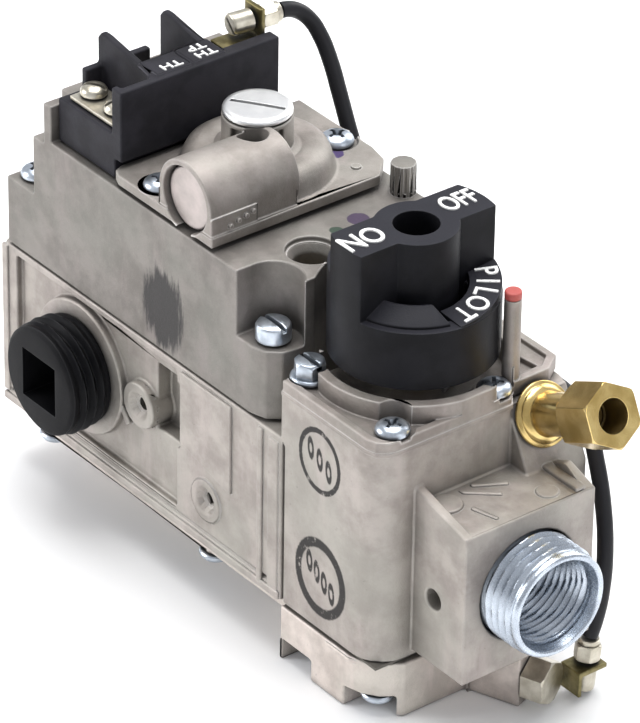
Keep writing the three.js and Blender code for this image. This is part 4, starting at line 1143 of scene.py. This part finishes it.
# ---- Terminal block -----------------------------------------------------------------------------
# A dark grey moulding on top of the inlet end: a base, a tall front wall, two fins between the
# terminals and a small deck with the terminal marks, which stand up in white.
grey_plastic = moulded("terminal_plastic_finish", (0.018, 0.0175, 0.021), (0.028, 0.027, 0.033), 0.45,
                       0.5)
TERMINAL_SCREWS = [(21.4, 6.2), (29, 6.0), (23.6, 18.2), (23.6, 31.4)]
fin = [(16.6, 84), (34.5, 84), (34.5, 93.6), (29.6, 94.6), (19.2, 96.2), (17.6, 96.2), (16.6, 95.0)]
terminal = weld(
    block(16.6, 34.2, 1.5, 37.6, 76.2, 85.2),
    outline([(16.6, 84), (18.2, 84), (18.2, 89.8), (16.6, 89.8)], 14.7, 6.8, "Y"),
    outline(fin, 1.5, 10.5, "Y"),
    outline(fin, 1.5, 24.6, "Y"),
    block(33.2, 36.2, 1.5, 37.6, 80.2, 94.8),
    block(29.2, 35.0, 10.6, 26.0, 92.6, 95.2),
)
terminal = carve(
    terminal,
    block(33.0, 34.4, 2.9, 9.4, 92.6, 96),
    block(29.8, 35.4, 18.2, 18.6, 94.8, 96),
    *[upright(x, y, 80.3, 100, 1.75, 24) for x, y in TERMINAL_SCREWS])
soften(terminal, 0.42, 3)
terminal = coat(terminal, grey_plastic)
mark_ink = white_ink("terminal_mark_finish")
marks = [word(text, (x, y, 95.3), (0, -1, 0), (1, 0, 0), 1.95, 0.25, 1.25)
         for text, x, y in (("TH", 33.6, 14.6), ("TH", 33.7, 22.4), ("TP", 31.0, 22.2))]
terminal = gather(terminal, *[coat(mark, mark_ink) for mark in marks])
fit(terminal, "terminal_moulding", ["terminal_block"], "grey_plastic")

# ---- Terminal plates and screws -----------------------------------------------------------------
# Flat strips of nickel-plated brass, stamped out and laid on the terminal block, each held down by
# one or two slotted binding screws.
STRIPS = [(18.8, 32.6, 2.6, 9.6), (19, 28.6, 13.2, 23.4), (19, 28.6, 27.2, 36.4)]
nickel = plated_steel("nickel_plate_finish", (0.50, 0.46, 0.37), (0.74, 0.70, 0.60), 0.25)
for number, (x0, x1, y0, y1) in enumerate(STRIPS, 1):
    strip = block(x0, x1, y0, y1, 85.5, 86.3)
    strip = carve(strip, *[upright(x, y, 80, 90, 1.9, 32) for x, y in TERMINAL_SCREWS
                           if x0 < x < x1 and y0 < y < y1])
    fit(soften(strip, 0.18, 2), f"terminal_strip_{number}", [f"terminal_plate_{number}"],
        "nickel_plate", nickel)
binding = turned((0, 0, 0), (0, 0, 1), [
    (0, -5), (1.5, -5), (1.5, 0), (2.4, 0), (2.6, 0.3), (2.55, 0.9), (2.2, 1.45), (1.5, 1.82),
    (0.7, 1.97), (0, 2.0)], 48)
binding = even(carve(binding, block(-3, 3, -0.4, 0.4, 1.1, 3)), 35)
for number, (x, y) in enumerate(TERMINAL_SCREWS, 1):
    fit(copy_to(binding, (x, y, 86.6), spin=35 * number), f"binding_screw_{number}",
        [f"terminal_screw_{number}"], "nickel_plate", nickel)
bpy.data.objects.remove(binding)

# ---- Lead ends ----------------------------------------------------------------------------------
# Each end of the lead is crimped in a ferrule with a hexagon, held through a bent tab by a slotted
# cylinder screw: the upper one on the terminal block, the lower one beside the magnet unit.
LEAD_ENDS = [("upper", (30.6, 41.6, 96.4), (0.1, 0.995, 0)),
             ("lower", (127.8, 38.9, 11.4), (0, 0.12, 0.993))]
olive = plated_steel("olive_plate_finish", (0.13, 0.11, 0.045), (0.30, 0.26, 0.13), 0.32)
upper_tab = weld(block(27.6, 32.8, 28.0, 29.0, 86.6, 93.6), block(27.6, 32.8, 28.0, 36.9, 92.6, 93.6),
                 block(27.6, 32.8, 35.9, 36.9, 92.6, 99.4))
fit(soften(upper_tab, 0.3, 3), "upper_lead_tab", ["upper_tab"], "olive_plate", olive)
lower_tab = weld(block(125.2, 130.6, 34.4, 41.0, 5.4, 6.4), block(125.2, 130.6, 34.4, 35.2, 1.2, 6.4))
fit(soften(lower_tab, 0.25, 3), "lower_lead_tab", ["lower_tab"], "olive_plate", olive)
crimp = rod((0, 0, -4.4), (0, 0, -1.2), 2.6, 6)
combine(crimp, turned((0, 0, -4.4), (0, 0, 1), [
    (0, 0), (2.3, 0), (2.62, 0.35), (2.62, 2.85), (2.3, 3.2), (0, 3.2)]), "INTERSECT")
soften(crimp, 0.12)
neck_ring = soften(rod((0, 0, -1.35), (0, 0, -0.1), 2.0, 48), 0.2)
crimp = gather(crimp, neck_ring)
slotted = turned((0, 0, 0), (0, 0, 1), [
    (0, -10.6), (1.9, -10.6), (2.2, -10.3), (2.2, -6.3), (0, -6.3)], 48)
slotted = soften(carve(slotted, block(-3, 3, -0.35, 0.35, -12, -9.9)), 0.08, 2, 40)
for name, place, aim in LEAD_ENDS:
    fit(copy_to(crimp, place, aim), f"{name}_crimp_ferrule", [f"{name}_ferrule"], "nickel_plate", nickel)
    fit(copy_to(slotted, place, aim, 40), f"{name}_tab_screw", [f"{name}_lead_screw"], "zinc_screws", nickel)
bpy.data.objects.remove(crimp)
bpy.data.objects.remove(slotted)
magnet_nut = rod((0, 0, 0.3), (0, 0, 4.9), 4.5, 6)
combine(magnet_nut, turned((0, 0, 0.3), (0, 0, 1), [
    (0, 0), (4.7, 0), (4.7, 4.1), (4.0, 4.6), (0, 4.6)]), "INTERSECT")
soften(magnet_nut, 0.07, 1)
fit(copy_to(magnet_nut, (123.9, 28.1, 5.2), (0.933, 0.36, 0)), "magnet_unit_nut", ["magnet_nut"],
    "nickel_plate", nickel)
bpy.data.objects.remove(magnet_nut)

# ---- Working parts inside -----------------------------------------------------------------------
# The cock, valves, gaskets and diaphragm stay as they are in the frame; here they only get their
# metal, rubber and fibre. Three of the springs shorten as the piece that rests on them moves.


def dress(material, *nodes):
    for node in nodes:
        slots = frame["nodes"][node].data.materials
        if len(slots):
            slots[0] = material
        else:
            slots.append(material)


dress(brass_finish("cock_brass_finish", (0.36, 0.24, 0.08), (0.62, 0.44, 0.17), 0.3),
      "cock_plug", "valve_seat", "bleed_screw")
spring_wire = plated_steel("spring_wire_finish", (0.30, 0.30, 0.32), (0.52, 0.52, 0.54), 0.26)
dress(spring_wire, "regulator_spring")
dress(plated_steel("valve_steel_finish", (0.34, 0.34, 0.35), (0.56, 0.56, 0.56), 0.34),
      "safety_valve", "magnet_core", "main_valve")
dress(moulded("gasket_fibre_finish", (0.09, 0.085, 0.075), (0.14, 0.13, 0.115), 0.75, 0.1),
      "bottom_gasket", "body_gasket")
dress(moulded("diaphragm_rubber_finish", (0.01, 0.01, 0.01), (0.018, 0.018, 0.018), 0.6, 0.1),
      "regulator_diaphragm")
dress(grey_plastic, "regulator_adjuster")


def squeezed_spring(node, joint, travel, fixed_end):
    """A coil that shortens by the travel of its joint, towards its fixed end."""
    shape = frame["nodes"][node].data.copy()
    shape.transform(frame["nodes"][node].matrix_world)
    shape.materials.clear()
    spring = bpy.data.objects.new(node + "_wire", shape)
    bpy.context.collection.objects.link(spring)
    fit(spring, node + "_wire", [node], "spring_steel", spring_wire)
    heights = [vertex.co.z for vertex in shape.vertices]
    length = max(heights) - min(heights)
    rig.squash(spring, joint, axis=(0, 0, 1), anchor=(0, 0, fixed_end(heights)),
              keep=(length - travel) / length)


PRESS_TRAVEL, LIFT_TRAVEL = 0.0025, 0.003
squeezed_spring("knob_spring", "knob_press", PRESS_TRAVEL, min)
squeezed_spring("safety_spring", "safety_open", PRESS_TRAVEL, min)
squeezed_spring("main_valve_spring", "main_valve_lift", LIFT_TRAVEL, max)

# ---- Bench top ----------------------------------------------------------------------------------
# A plain pale surface of matt laminate that the valve stands on. It is not part of the valve and
# nothing is fixed to it.
bpy.ops.object.select_all(action="DESELECT")
bpy.ops.mesh.primitive_plane_add(size=8, location=(0, 0, 0))
bench = bpy.context.object
bench.name = "bench_top"
bench_finish = Finish("bench_finish", roughness=0.6)
bench_finish.feed("Base Color", bench_finish.blend(bench_finish.noise(40, 3), (0.93, 0.93, 0.93),
                                                   (0.95, 0.95, 0.95)))
bench.data.materials.append(bench_finish.material)
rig.stage(bench)

with open("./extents.json", "w") as sizes:
    json.dump({"cad": [list(corner) for corner in cad_box],
               "visual": [list(corner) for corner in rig.bounds()]}, sizes)
